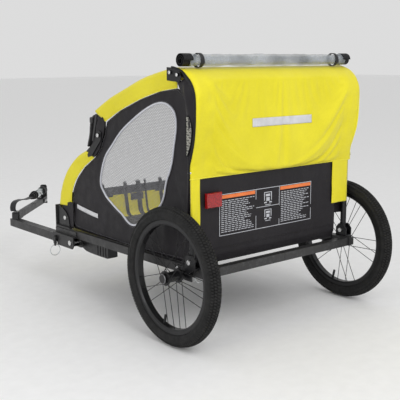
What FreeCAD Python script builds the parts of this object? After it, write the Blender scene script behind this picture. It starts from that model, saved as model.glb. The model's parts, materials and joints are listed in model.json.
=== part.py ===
import FreeCAD, Part
import math
import os

# Two-seat child bicycle trailer, in millimetres.
# +X is the trailer's left side, -Y is forward, +Z is up.  The origin is on the ground,
# midway between the wheels and midway between the hitch tip and the back of the tyres.

V = FreeCAD.Vector
ORIGIN = V(0, 0, 0)
X_AXIS = V(1, 0, 0)
Y_AXIS = V(0, 1, 0)
Z_AXIS = V(0, 0, 1)

# Wheels: 16 x 1.75 inch
WHEEL_R = 200.0
TYRE_SECTION_R = 22.5
TYRE_WALL = 4.0
TRACK_HALF = 366.5
RIM_SEAT_R = 162.0
RIM_INNER_R = 148.0
SPOKES_PER_FLANGE = 10
SPOKE_R = 1.0
AXLE_R = 6.0
AXLE_Y = 570.0
AXLE_Z = WHEEL_R
RUNNING = 0.05

# Frame: square steel tube
RAIL_SIZE = 25.0
RAIL_WALL = 2.0
RAIL_OUT = 319.0
RAIL_IN = RAIL_OUT - RAIL_SIZE
RAIL_LOW = 200.5
RAIL_TOP = RAIL_LOW + RAIL_SIZE
RAIL_FRONT = -150.0
RAIL_REAR = 654.0
REAR_BAR_Y = 642.0
SEAT_BAR_Y = 330.0
FRONT_BAR_Y = -122.0

# Hoops: round steel tube
HOOP_R = 9.5
HOOP_WALL = 1.5
BOW_X = 298.0
POST_X = 322.0
BOW_PIVOT = (-97.0, 260.0)
ELBOW = (129.0, 562.0)
LATCH_PIVOT = (104.0, 622.0)
HOOP_PIVOT = (611.0, 244.0)

# Tow arm: rectangular steel tube that swings down and back on one bolt
TOW_IN, TOW_OUT = 299.0, 329.0
TOW_LOW, TOW_TOP = 171.0, 199.5
TOW_PIVOT_Y = -30.0
TOW_MID_Z = (TOW_LOW + TOW_TOP) / 2
TOW_FRONT = -486.0
LOCK_PIN_Y = -127.0
TOW_BOLT_R = 5.0
LOCK_PIN_R = 5.0

# Hitch tube: leaves the corner at 45 degrees, inward and forward
HITCH_SIZE = 22.0
HITCH_START = (314.0, -462.0)
HITCH_LENGTH = 368.0
HITCH_LOW = TOW_TOP
HITCH_MID_Z = HITCH_LOW + HITCH_SIZE / 2

FABRIC = 2.5
PANEL_X = 300.0

# The pieces are drawn from a datum on the rails; this shift brings the origin to mid-length.
DATUM_SHIFT_Y = -17.17


def box(x0, x1, y0, y1, z0, z1):
    return Part.makeBox(x1 - x0, y1 - y0, z1 - z0, V(x0, y0, z0))


def rod(start, end, radius):
    start, end = V(*start), V(*end)
    return Part.makeCylinder(radius, (end - start).Length, start, end - start)


def rod_x(x0, x1, y, z, radius):
    return rod((x0, y, z), (x1, y, z), radius)


def sleeve_x(x0, x1, y, z, outer, inner):
    return rod_x(x0, x1, y, z, outer).cut(rod_x(x0 - 1, x1 + 1, y, z, inner))


def square_tube_y(x0, x1, y0, y1, z0, z1, wall):
    inside = box(x0 + wall, x1 - wall, y0 - 1, y1 + 1, z0 + wall, z1 - wall)
    return box(x0, x1, y0, y1, z0, z1).cut(inside)


def square_tube_x(x0, x1, y0, y1, z0, z1, wall):
    inside = box(x0 - 1, x1 + 1, y0 + wall, y1 - wall, z0 + wall, z1 - wall)
    return box(x0, x1, y0, y1, z0, z1).cut(inside)


def straight_outline(points, x):
    corners = [V(x, y, z) for y, z in points]
    return Part.Wire(Part.makePolygon(corners + corners[:1]))


def smooth_edge(points, x):
    curve = Part.BSplineCurve()
    curve.interpolate([V(x, y, z) for y, z in points])
    return curve.toShape()


def outline_of_runs(runs, x):
    # Each run is a smooth curve through its points; straight lines close the gaps between runs.
    edges = []
    for index, run in enumerate(runs):
        if len(run) > 2:
            edges.append(smooth_edge(run, x))
        elif len(run) == 2:
            edges.append(Part.makeLine(V(x, *run[0]), V(x, *run[1])))
        tail, head = run[-1], runs[(index + 1) % len(runs)][0]
        if tail != head:
            edges.append(Part.makeLine(V(x, *tail), V(x, *head)))
    return Part.Wire(edges)


def slab(wire, thickness):
    return Part.Face(wire).extrude(V(thickness, 0, 0))


def plate(points, x0, x1):
    return slab(straight_outline(points, x0), x1 - x0)


def filleted_path(points, radii):
    # Straight runs joined by tangent arcs.
    points = [V(*p) for p in points]
    edges, here = [], points[0]
    for before, corner, after, radius in zip(points, points[1:], points[2:], radii):
        back, ahead = (before - corner).normalize(), (after - corner).normalize()
        half = back.getAngle(ahead) / 2
        reach = radius / math.tan(half)
        start, end = corner + back * reach, corner + ahead * reach
        centre = corner + (back + ahead).normalize() * (radius / math.sin(half))
        middle = centre + (corner - centre).normalize() * radius
        edges.append(Part.makeLine(here, start))
        edges.append(Part.Arc(start, middle, end).toShape())
        here = end
    edges.append(Part.makeLine(here, points[-1]))
    return Part.Wire(edges)


def swept_rod(points, radii, radius):
    path = filleted_path(points, radii)
    first, second = V(*points[0]), V(*points[1])
    disc = Part.Wire(Part.makeCircle(radius, first, second - first))
    return path.makePipeShell([disc], True, True)


def swept_tube(points, radii, radius, wall):
    return swept_rod(points, radii, radius).cut(swept_rod(points, radii, radius - wall))


def mirrored(shape):
    return shape.mirror(ORIGIN, X_AXIS)


def both_sides(*shapes):
    return list(shapes) + [mirrored(s) for s in shapes]


def side_place(side, shape):
    return shape if side == "left" else mirrored(shape)


def turned_x(shape, y, z, degrees):
    shape = shape.copy()
    shape.rotate(V(0, y, z), X_AXIS, degrees)
    return shape


def along_hitch(shape):
    # Moves a shape drawn along -Y from the origin onto the hitch tube's line.
    shape = shape.copy()
    shape.rotate(ORIGIN, Z_AXIS, -45)
    shape.translate(V(HITCH_START[0], HITCH_START[1], 0))
    return shape


def save(name, *solids):
    shape = Part.makeCompound(list(solids)) if len(solids) > 1 else solids[0].copy()
    shape.translate(V(0, DATUM_SHIFT_Y, 0))
    shape.exportStep("parts/" + name + ".step")


# ---------------------------------------------------------------- chassis

def side_rail():
    rail = square_tube_y(RAIL_IN, RAIL_OUT, RAIL_FRONT, RAIL_REAR, RAIL_LOW, RAIL_TOP, RAIL_WALL)
    return rail.cut(rod_x(RAIL_IN - 1, RAIL_OUT + 1, AXLE_Y, AXLE_Z, 9.0))


def crossbars():
    low, top = RAIL_LOW, RAIL_TOP
    half = RAIL_SIZE / 2
    seam = 0.6
    rear = square_tube_x(seam, RAIL_IN, REAR_BAR_Y - half, REAR_BAR_Y + half, low, top, RAIL_WALL)
    inner = half - RAIL_WALL - 0.05
    save("crossbar_joint_sleeve", box(-60, 60, REAR_BAR_Y - inner, REAR_BAR_Y + inner,
                                      low + RAIL_WALL + 0.05, top - RAIL_WALL - 0.05))
    whole = [square_tube_x(-RAIL_IN, RAIL_IN, y - half, y + half, low, top, RAIL_WALL)
             for y in (SEAT_BAR_Y, FRONT_BAR_Y)]
    save("crossbars", *both_sides(rear), *whole)


def rail_end_caps():
    low, top = RAIL_LOW, RAIL_TOP
    cap = box(RAIL_IN + 0.5, RAIL_OUT - 0.5, RAIL_REAR, RAIL_REAR + 4, low + 0.5, top - 0.5)
    cap = cap.makeFillet(1.5, [e for e in cap.Edges if e.CenterOfMass.y > RAIL_REAR + 3.9])
    plug = box(RAIL_IN + 2.05, RAIL_OUT - 2.05, RAIL_REAR - 12, RAIL_REAR, low + 2.05, top - 2.05)
    save("rail_end_caps", *both_sides(cap.fuse(plug)))


def front_brackets():
    # A folded plate that stands on the rail's front end and holds the bow's bottom bolt.
    y, z = BOW_PIVOT
    web = box(288, 319, RAIL_FRONT - 4, RAIL_FRONT, RAIL_LOW - 1, 300)
    web = web.makeFillet(2, [e for e in web.Edges if e.CenterOfMass.y < RAIL_FRONT - 3.9])
    side = plate([(RAIL_FRONT, RAIL_TOP), (-70, RAIL_TOP), (-78, 262), (-92, 279), (-112, 290),
                  (RAIL_FRONT, 300)], 309.2, 312.2)
    side = side.cut(rod_x(300, 320, y, z, 4.05))
    foot = box(309.2, RAIL_OUT, RAIL_FRONT, -62, RAIL_TOP, RAIL_TOP + 4)
    bracket = web.fuse(side).fuse(foot).removeSplitter()
    save("front_brackets", *both_sides(bracket))


def bow_pivot_bolts():
    y, z = BOW_PIVOT
    shank = rod_x(286, 313, y, z, 4.0)
    head = rod_x(312.25, 316.5, y, z, 7.5)
    head = head.makeFillet(1.8, [e for e in head.Edges if e.CenterOfMass.x > 316])
    return both_sides(shank.fuse(head))


def hoop_brackets():
    # A yoke on each rail; the rear hoop's post turns between its two cheeks.
    y, z = HOOP_PIVOT
    x0, x1 = POST_X - HOOP_R - 1.0, POST_X + HOOP_R + 1.0
    outline = [(y - 20, RAIL_TOP), (y + 22, RAIL_TOP), (y + 22, z + 6), (y + 10, z + 20),
               (y - 10, z + 20), (y - 20, z + 6)]
    inner = plate(outline, x0 - 3.5, x0)
    outer = plate([(y - 20, RAIL_LOW + 3)] + outline[1:], x1, x1 + 3.5)
    floor = box(x0 - 3.5, x1 + 3.5, y - 20, y + 22, RAIL_TOP, RAIL_TOP + 3.5)
    skirt = box(RAIL_OUT, x1 + 3.5, y - 20, y + 22, RAIL_TOP - 3, RAIL_TOP + 1)
    bracket = inner.fuse(outer).fuse(floor).fuse(skirt).removeSplitter()
    bracket = bracket.cut(rod_x(x0 - 10, x1 + 10, y, z, 4.05))
    save("hoop_brackets", *both_sides(bracket))


def hoop_pivot_bolts():
    y, z = HOOP_PIVOT
    x0, x1 = POST_X - HOOP_R - 1.0, POST_X + HOOP_R + 1.0
    shank = rod_x(x0 - 8, x1 + 4, y, z, 4.0)
    head = rod_x(x1 + 3.55, x1 + 7.5, y, z, 7.0)
    nut = rod_x(x0 - 9, x0 - 3.55, y, z, 6.5)
    return both_sides(shank.fuse(head).fuse(nut))


def axle_receivers():
    tube = sleeve_x(272, 327, AXLE_Y, AXLE_Z, 9.0, AXLE_R + RUNNING)
    web = box(RAIL_OUT, RAIL_OUT + 4, AXLE_Y - 34, AXLE_Y + 34, AXLE_Z - 16, RAIL_TOP - 3.5)
    web = web.cut(rod_x(300, 340, AXLE_Y, AXLE_Z, 8.99))
    hanger = box(RAIL_IN - 4, RAIL_IN, AXLE_Y - 20, AXLE_Y + 15, AXLE_Z - 14, RAIL_TOP)
    hanger = hanger.cut(rod_x(280, 300, AXLE_Y, AXLE_Z, 8.99))
    receiver = tube.fuse(web).fuse(hanger).removeSplitter()
    receiver = receiver.cut(rod((282, AXLE_Y - 20, AXLE_Z), (282, AXLE_Y + 20, AXLE_Z), 2.5))
    save("axle_receivers", *both_sides(receiver))


def receiver_bolts():
    bolts = []
    for y in (AXLE_Y - 26, AXLE_Y + 26):
        bolts.append(rod_x(RAIL_OUT + 4, RAIL_OUT + 8, y, 213, 6.0))
    return both_sides(*bolts)


def axles():
    shaft = rod_x(274, 396, AXLE_Y, AXLE_Z, AXLE_R)
    head = rod_x(395, 401.5, AXLE_Y, AXLE_Z, 12.0)
    head = head.makeFillet(2.0, [e for e in head.Edges if e.CenterOfMass.x > 401])
    shaft = shaft.fuse(head).cut(rod((282, AXLE_Y - 20, AXLE_Z), (282, AXLE_Y + 20, AXLE_Z), 2.5))
    save("wheel_axles", *both_sides(shaft))


def ring_pin_pair():
    # Each wheel's axle is kept in its receiver by a cross pin with a wire ring.
    pin = rod((282, AXLE_Y - 13, AXLE_Z), (282, AXLE_Y + 14, AXLE_Z), 2.5 - RUNNING)
    head = rod((282, AXLE_Y + 12, AXLE_Z), (282, AXLE_Y + 23, AXLE_Z), 5.5)
    pin = pin.fuse(head).cut(rod_x(270, 295, AXLE_Y + 18, AXLE_Z, 2.6))
    ring = Part.makeTorus(14.0, 1.1, V(282, AXLE_Y + 18, AXLE_Z - 14.0), Y_AXIS)
    for name in ("left", "right"):
        save(name + "_axle_pin", side_place(name, pin))
        save(name + "_axle_pin_ring", side_place(name, ring))


def tow_bracket():
    y0, y1 = -148.0, -14.0
    cheek = [(y0, TOW_LOW - 7), (y1 - 8, TOW_LOW - 7), (y1, TOW_LOW + 3), (y1, RAIL_LOW), (y0, RAIL_LOW)]
    inner = plate(cheek, 293.0, 297.5)
    outer = plate(cheek[:3] + [(y1, 206), (y0, 206)], 330.5, 334.5)
    step = box(RAIL_OUT, 334.5, y0, y1, 202, 206)
    lip = box(RAIL_OUT, RAIL_OUT + 4, y0, y1, 202, 222)
    # The notch follows the arc that the lock pin takes about the arm's pivot.
    reach = TOW_PIVOT_Y - LOCK_PIN_Y
    notch = rod_x(280, 340, TOW_PIVOT_Y, TOW_MID_Z, reach + 5.2)
    notch = notch.cut(rod_x(279, 341, TOW_PIVOT_Y, TOW_MID_Z, reach - 5.2))
    notch = notch.common(box(280, 340, LOCK_PIN_Y - 6, LOCK_PIN_Y + 20, 150, TOW_MID_Z))
    notch = notch.fuse(rod_x(280, 340, LOCK_PIN_Y, TOW_MID_Z, 5.2))
    hole = rod_x(280, 340, TOW_PIVOT_Y, TOW_MID_Z, TOW_BOLT_R + RUNNING)
    bracket = outer.fuse(step).fuse(lip).removeSplitter().cut(notch).cut(hole)
    save("tow_bracket", bracket, inner.cut(notch).cut(hole))


def tow_pivot_bolt():
    bolt = rod_x(289, 335, TOW_PIVOT_Y, TOW_MID_Z, TOW_BOLT_R)
    head = rod_x(334.6, 339.5, TOW_PIVOT_Y, TOW_MID_Z, 8.5)
    nut = rod_x(287, 292.9, TOW_PIVOT_Y, TOW_MID_Z, 8.0)
    return [bolt.fuse(head).fuse(nut)]


def frame_bolts():
    save("frame_bolts", *bow_pivot_bolts(), *hoop_pivot_bolts(), *receiver_bolts(), *tow_pivot_bolt())


def keel_guards():
    # Moulded skid under each rail, ahead of the wheel, with ribs round its rear end.
    outline = [(-51, 182), (-44, 165), (-10, 153), (45, 147), (112, 147), (125, 152),
               (125, RAIL_LOW - 0.5), (-51, RAIL_LOW - 0.5)]
    rounded = box(248, 286, -60, 130, 147, RAIL_LOW)
    rounded = rounded.makeFillet(9, [e for e in rounded.Edges if e.CenterOfMass.z < 148 and e.Length > 150])
    guard = plate(outline, 248, 286).common(rounded)
    for y in (62, 78, 94, 110):
        groove = box(240, 295, y, y + 5, 140, RAIL_LOW - 8)
        guard = guard.cut(groove.cut(box(250.5, 283.5, y - 1, y + 6, 150, RAIL_LOW)))
    save("keel_guards", *both_sides(guard))


def floor_panel():
    floor = box(-286, 286, -112, 310, RAIL_TOP + 0.5, RAIL_TOP + 4)
    front = box(-286, 286, -112, -108, RAIL_TOP + 0.5, 343)
    save("floor_panel", floor.fuse(front).removeSplitter())


def seat():
    cushion = box(-276, 276, 285, 520, RAIL_TOP + 5, RAIL_TOP + 45)
    cushion = cushion.makeFillet(14, cushion.Edges)
    save("seat_cushion", cushion)
    back = box(-276, 276, 512, 540, RAIL_TOP + 48, 660)
    back = back.makeFillet(12, back.Edges)
    back = turned_x(back, 526, RAIL_TOP + 48, -4)
    save("seat_back", back)


def harness():
    straps, buckles = [], []
    for centre in (-138, 138):
        for offset in (-55, 55):
            strap = box(centre + offset - 12, centre + offset + 12, 507.5, 509.5, RAIL_TOP + 60, 600)
            straps.append(turned_x(strap, 526, RAIL_TOP + 48, -4))
        straps.append(box(centre - 150 + 40, centre + 110, 440, 464, RAIL_TOP + 45.5, RAIL_TOP + 47.5))
        buckle = box(centre - 24, centre + 24, 428, 476, RAIL_TOP + 48, RAIL_TOP + 60)
        buckles.append(buckle.makeFillet(4, buckle.Edges))
    save("harnesses", *straps, *buckles)


def side_panels():
    # Flat fabric side with a long curved window; its edge follows the bow above and the rail below.
    edge = [[(-66, 306), (-52, 362), (-23, 405), (24, 447), (90, 486)], [(90, 486), (128, 520), (152, 562)],
            [(152, 562), (167, 607), (242, 645), (348, 683), (446, 709), (529, 720)],
            [(529, 720), (560, 700)], [(560, 700), (588, 620), (590, 480), (586, 300)],
            [(586, 300), (584, RAIL_TOP + 0.6)], [(584, RAIL_TOP + 0.6), (-58, RAIL_TOP + 5)],
            [(-58, RAIL_TOP + 5), (-66, 306)]]
    save("side_panels", *both_sides(slab(outline_of_runs(edge, PANEL_X), FABRIC)))


# ---------------------------------------------------------------- rear hoop

POST_ROUTE = [(609, 237), (610, 490), (638, 700), (590, 757), (528, 764)]
POST_BENDS = [300, 34, 60]


def beside_post(shape):
    # Cuts a shape back to the outside of the post tube.
    points = [(POST_X, y, z) for y, z in POST_ROUTE]
    return shape.cut(swept_rod(points, POST_BENDS, HOOP_R + RUNNING))


def rear_hoop():
    points = [(POST_X, y, z) for y, z in POST_ROUTE]
    tube = swept_tube(points, POST_BENDS, HOOP_R, HOOP_WALL)
    y, z = HOOP_PIVOT
    foot = rod_x(POST_X - HOOP_R, POST_X + HOOP_R, y, z, 10.0)
    post = tube.fuse(foot).cut(rod_x(300, 340, y, z, 4.05))
    save("hoop_posts", *both_sides(post))
    bar = sleeve_x(-POST_X + HOOP_R, POST_X - HOOP_R, 609, 748, 8.0, 6.5)
    save("hoop_crossbar", bar)


TOP_PLATE = [(520, 742), (575, 738), (584, 752), (572, 776), (520, 778)]
TOP_BOLTS = ((537, 764), (569, 758))


def top_joint():
    # Plates beside each bow end, bolted to the hoop; the bow leaves them sideways when it folds.
    side = plate(TOP_PLATE, 334.0, 337.0)
    for y, z in TOP_BOLTS:
        side = side.fuse(beside_post(rod_x(330.0, 341.0, y, z, 5.0)))
    save("top_joints", *both_sides(side))


def beside_top_plate(shape):
    # Cuts the cover back to just outside the top plate and its bolts.
    for y, z in TOP_BOLTS:
        shape = shape.cut(rod_x(330.0, 343.0, y, z, 5.2))
    return shape.cut(plate(TOP_PLATE, 333.8, 337.2))


def cover():
    # The cover hangs behind and over the rear hoop as one curved sheet with two side flaps.
    outer = [(590, 774), (616, 764), (640, 738), (650, 706), (649, 684), (636, 604), (626, 539),
             (621, 480)]
    inner = [(617.5, 480), (622.5, 539), (632.5, 604), (645.5, 684), (646, 706), (636.5, 736),
             (614, 760.5), (590, 770.5)]
    back = slab(outline_of_runs([outer, inner], -342), 684)
    flap_edge = [[(590, 770.5), (614, 760.5), (636.5, 736), (646, 706), (645.5, 684), (632.5, 604),
                  (622.5, 539), (617.5, 480)], [(617.5, 480), (600, 480)],
                 [(600, 480), (602, 560), (612, 630), (610, 690), (592, 730), (560, 756)],
                 [(560, 756), (590, 770.5)]]
    flap = slab(outline_of_runs(flap_edge, 338), 4.0)
    sheet = back.fuse(flap).fuse(mirrored(flap)).removeSplitter()
    sheet = mirrored(beside_top_plate(beside_post(sheet)))
    sheet = mirrored(beside_top_plate(beside_post(sheet)))
    save("rear_cover", sheet)


def rear_panel():
    save("rear_panel", box(-286, 286, 616, 619, 237, 478))


def rear_reflector():
    lens = box(232, 287, 621.5, 634, 392, 434)
    lens = lens.makeFillet(5, [e for e in lens.Edges if e.CenterOfMass.y > 633])
    base = box(235, 284, 619, 621.5, 395, 431)
    save("rear_reflector", lens.fuse(base).removeSplitter())


def rolled_cover():
    save("rolled_front_cover", rod_x(-340, 340, 584, 796, 21.0))


# ---------------------------------------------------------------- bows

LOWER_BOW = [(-97, 246), (-116, 305), (-107, 372), (-48, 436), (20, 480), (60, 500), (118, 548)]
UPPER_BOW = [(135, 580), (136, 640), (260, 698), (400, 745), (528, 765)]


UPPER_BENDS = [30, 400, 700]


def bow_tube(route, radii):
    return swept_tube([(BOW_X, y, z) for y, z in route], radii, HOOP_R, HOOP_WALL)


def beside_upper_bow(shape):
    # Cuts a shape back to the outside of the upper bow's tube.
    points = [(BOW_X, y, z) for y, z in UPPER_BOW]
    return shape.cut(swept_rod(points, UPPER_BENDS, HOOP_R + RUNNING))


def lower_bow():
    y, z = BOW_PIVOT
    tube = bow_tube(LOWER_BOW, [60, 60, 120, 300, 60])
    foot = rod_x(BOW_X - HOOP_R, BOW_X + HOOP_R, y, z, 12.0)
    arm = tube.fuse(foot).removeSplitter().cut(rod_x(280, 320, y, z, 4.05))
    arm = arm.cut(rod_x(280, 320, ELBOW[0], ELBOW[1], 12.6))
    save("lower_bows", *both_sides(arm))


def upper_bow():
    tube = bow_tube(UPPER_BOW, UPPER_BENDS)
    tube = tube.cut(rod_x(280, 320, ELBOW[0], ELBOW[1], 12.6))
    save("upper_bows", *both_sides(tube))


def elbow_hinges():
    # Two plates on the lower bow straddle a boss on the upper bow; one bolt joins them.
    y, z = ELBOW
    cheek = plate([(62, 486), (84, 492), (y + 12, z - 14), (y + 14, z + 10), (y, z + 15),
                   (y - 14, z + 8), (y - 22, z - 20), (54, 506)], 310.0, 312.5)
    cheek = cheek.cut(rod_x(300, 320, y, z, 4.05))
    inner = cheek.copy()
    inner.translate(V(-26.5, 0, 0))
    boss = rod_x(BOW_X - 9, BOW_X + 9, y, z, 12.0)
    arm = box(BOW_X - 9, BOW_X + 9, y - 4, y + 12, z, z + 24)
    foot_y, foot_z = UPPER_BOW[0]
    plug_r = HOOP_R - HOOP_WALL - 0.2
    plug = rod((BOW_X, foot_y - 0.1, foot_z - 5), (BOW_X, foot_y + 0.2, foot_z + 12), plug_r)
    boss = beside_upper_bow(boss.fuse(arm)).fuse(plug).cut(rod_x(280, 320, y, z, 4.05))
    y, z = LATCH_PIVOT
    lug = plate([(y + 6, z + 20), (y + 26, z + 26), (y + 26, z - 10), (y + 6, z - 12)], 293.0, 303.0)
    save("elbow_bosses", *both_sides(boss, beside_upper_bow(lug)))
    y, z = ELBOW
    shank = rod_x(281.5, 314, y, z, 4.0)
    head = rod_x(312.55, 316.5, y, z, 6.5)
    nut = rod_x(279, 283.45, y, z, 6.5)
    save("elbow_hinges", *both_sides(cheek, inner, shank.fuse(head).fuse(nut)))


def elbow_latches():
    # Over-centre lever on the front of each elbow; its lower end hooks the lower bow.
    y, z = LATCH_PIVOT
    hub = rod_x(291, 305, y, z, 6.0)
    lever = plate([(y - 6, z + 4), (y + 2, z + 5), (y + 2, z - 12), (y - 8, z - 40), (y - 21, z - 84),
                   (y - 28, z - 80), (y - 16, z - 38)], 292.0, 304.0)
    for name in ("left", "right"):
        save(name + "_latch_lever", side_place(name, hub.fuse(lever).removeSplitter()))


def bow_sleeves():
    # Yellow fabric bands laced over the bows, outside the tube.
    lower = [[(-140, 303), (-127, 352), (-96, 409), (-50, 455), (0, 488), (51, 509)],
             [(51, 509), (90, 487)],
             [(90, 487), (23, 448), (-24, 406), (-53, 362), (-66, 304)], [(-66, 304), (-140, 303)]]
    upper = [[(105, 641), (189, 682), (272, 713), (350, 741), (424, 760), (494, 773), (525, 776)],
             [(525, 776), (527, 723)],
             [(527, 723), (446, 710), (348, 684), (242, 646), (161, 608)], [(161, 608), (105, 641)]]
    for name, runs in (("lower", lower), ("upper", upper)):
        band = slab(outline_of_runs(runs, BOW_X + HOOP_R + 0.2), 2.0)
        save(name + "_bow_bands", *both_sides(band))


# ---------------------------------------------------------------- wheels

def tyre(side_x):
    centre = V(side_x, AXLE_Y, AXLE_Z)
    ring_r = WHEEL_R - TYRE_SECTION_R
    outer = Part.makeTorus(ring_r, TYRE_SECTION_R, centre, X_AXIS)
    inner = Part.makeTorus(ring_r, TYRE_SECTION_R - TYRE_WALL, centre, X_AXIS)
    seat = rod_x(side_x - 60, side_x + 60, AXLE_Y, AXLE_Z, RIM_SEAT_R)
    return outer.cut(inner).cut(seat)


def turned_profile(points, side_x):
    # Turns an (along the axle, radius) outline about the axle.
    corners = [V(side_x + a, AXLE_Y, AXLE_Z + r) for a, r in points]
    face = Part.Face(Part.makePolygon(corners + corners[:1]))
    return face.revolve(V(side_x, AXLE_Y, AXLE_Z), X_AXIS, 360)


def rim():
    r0, r1 = RIM_INNER_R, RIM_SEAT_R
    ring = turned_profile([(-13, r1), (-13, r0 + 4), (-9, r0), (9, r0), (13, r0 + 4), (13, r1),
                           (10.5, r1), (10.5, r0 + 6), (-10.5, r0 + 6), (-10.5, r1)], TRACK_HALF)
    return ring.fuse(valve()).removeSplitter()


def hub():
    bore, seat = 8.0, 14.0
    return turned_profile([(-32, seat), (-32, 16.5), (-25, 16.5), (-24, 21), (-21, 21), (-19, 15),
                           (19, 15), (21, 21), (24, 21), (25, 16.5), (28, 16.5), (28, seat),
                           (18, seat), (18, bore), (-18, bore), (-18, seat)], TRACK_HALF)


def bearings():
    inner, outer = AXLE_R + RUNNING, 14.0
    pairs = [(-31.0, -18.0), (18.0, 27.0)]
    return [sleeve_x(TRACK_HALF + a, TRACK_HALF + b, AXLE_Y, AXLE_Z, outer, inner) for a, b in pairs]


def spokes():
    wires = []
    step = 360.0 / SPOKES_PER_FLANGE
    for flange, phase in ((-22.5, 0.0), (22.5, step / 2)):
        for index in range(SPOKES_PER_FLANGE):
            at_hub = math.radians(phase + index * step)
            lean = math.radians(48 if index % 2 else -48)
            at_rim = at_hub + lean
            shift = 1.3 if index % 2 else -1.3
            hub_end = (TRACK_HALF + flange + shift, AXLE_Y + 18.5 * math.sin(at_hub),
                       AXLE_Z + 18.5 * math.cos(at_hub))
            reach = RIM_INNER_R + 1
            rim_end = (TRACK_HALF + flange / 8 + shift, AXLE_Y + reach * math.sin(at_rim),
                       AXLE_Z + reach * math.cos(at_rim))
            wires.append(rod(hub_end, rim_end, SPOKE_R))
    return wires


def valve():
    stem = rod((TRACK_HALF, AXLE_Y, AXLE_Z - RIM_INNER_R + 26),
               (TRACK_HALF, AXLE_Y, AXLE_Z - RIM_INNER_R), 4.0)
    return turned_x(stem, AXLE_Y, AXLE_Z, -14)


def wheels():
    pieces = {"tyre": [tyre(TRACK_HALF)], "rim": [rim()], "hub": [hub()],
              "hub_bearings": bearings(), "spokes": spokes()}
    for side in ("left", "right"):
        for name, solids in pieces.items():
            save(side + "_" + name, *[side_place(side, s) for s in solids])


# ---------------------------------------------------------------- tow arm and hitch

def tow_tube():
    blank = box(TOW_IN, TOW_OUT, TOW_FRONT, TOW_PIVOT_Y, TOW_LOW, TOW_TOP)
    blank = blank.fuse(rod_x(TOW_IN, TOW_OUT, TOW_PIVOT_Y, TOW_MID_Z, (TOW_TOP - TOW_LOW) / 2))
    inside = box(TOW_IN + 2, TOW_OUT - 2, TOW_FRONT - 1, TOW_PIVOT_Y + 30, TOW_LOW + 2, TOW_TOP - 2)
    tube = blank.removeSplitter().cut(inside)
    tube = tube.cut(rod_x(280, 340, TOW_PIVOT_Y, TOW_MID_Z, TOW_BOLT_R + RUNNING))
    tube = tube.cut(rod_x(280, 340, LOCK_PIN_Y, TOW_MID_Z, LOCK_PIN_R + RUNNING))
    save("tow_tube", tube)


def tube_end_plugs():
    cap = box(TOW_IN + 0.5, TOW_OUT - 0.5, TOW_FRONT - 4, TOW_FRONT, TOW_LOW + 0.5, TOW_TOP - 0.5)
    cap = cap.makeFillet(1.5, [e for e in cap.Edges if e.CenterOfMass.y < TOW_FRONT - 3.9])
    half = HITCH_SIZE / 2
    end = box(-half + 2, half - 2, -3, 14.5, HITCH_LOW + 2, HITCH_LOW + HITCH_SIZE - 2)
    lid = box(-half, half, 14, 18, HITCH_LOW, HITCH_LOW + HITCH_SIZE)
    save("tube_end_plugs", cap, along_hitch(end.fuse(lid).removeSplitter()))


def lock_pin():
    y, z = LOCK_PIN_Y, TOW_MID_Z
    pin = rod_x(290, 337, y, z, LOCK_PIN_R)
    knob = rod_x(335.2, 345, y, z, 11.0)
    knob = knob.makeFillet(2.5, [e for e in knob.Edges if e.CenterOfMass.x > 344])
    lug = box(338.5, 341.5, y - 5, y + 5, z - 26, z)
    lug = lug.cut(rod_x(330, 350, y, z - 22, 2.4))
    save("tow_lock_pin", pin.fuse(knob).fuse(lug).removeSplitter())
    ring = Part.makeTorus(19.0, 1.2, V(340, y, z - 22 - 19.0), Y_AXIS)
    save("tow_lock_pin_ring", ring)


def hitch_tube():
    half = HITCH_SIZE / 2
    outer = box(-half, half, -HITCH_LENGTH, 14, HITCH_LOW, HITCH_LOW + HITCH_SIZE)
    inside = box(-half + 2, half - 2, -HITCH_LENGTH - 1, 15, HITCH_LOW + 2, HITCH_LOW + HITCH_SIZE - 2)
    save("hitch_tube", along_hitch(outer.cut(inside)))


def corner_clamp():
    # Moulded block over the corner, where the hitch tube is bolted to the tow tube.
    half = HITCH_SIZE / 2
    saddle = box(-half - 4, half + 4, -34, 10, HITCH_LOW + 0.2, HITCH_LOW + HITCH_SIZE + 5)
    saddle = saddle.makeFillet(3, [e for e in saddle.Edges if e.CenterOfMass.z > HITCH_LOW + HITCH_SIZE + 4])
    slot = box(-half - 0.05, half + 0.05, -50, 30, HITCH_LOW - 1, HITCH_LOW + HITCH_SIZE + 0.05)
    save("corner_clamp", along_hitch(saddle.cut(slot)))


YOKE_TOP = HITCH_LOW + HITCH_SIZE + 52.0


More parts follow.
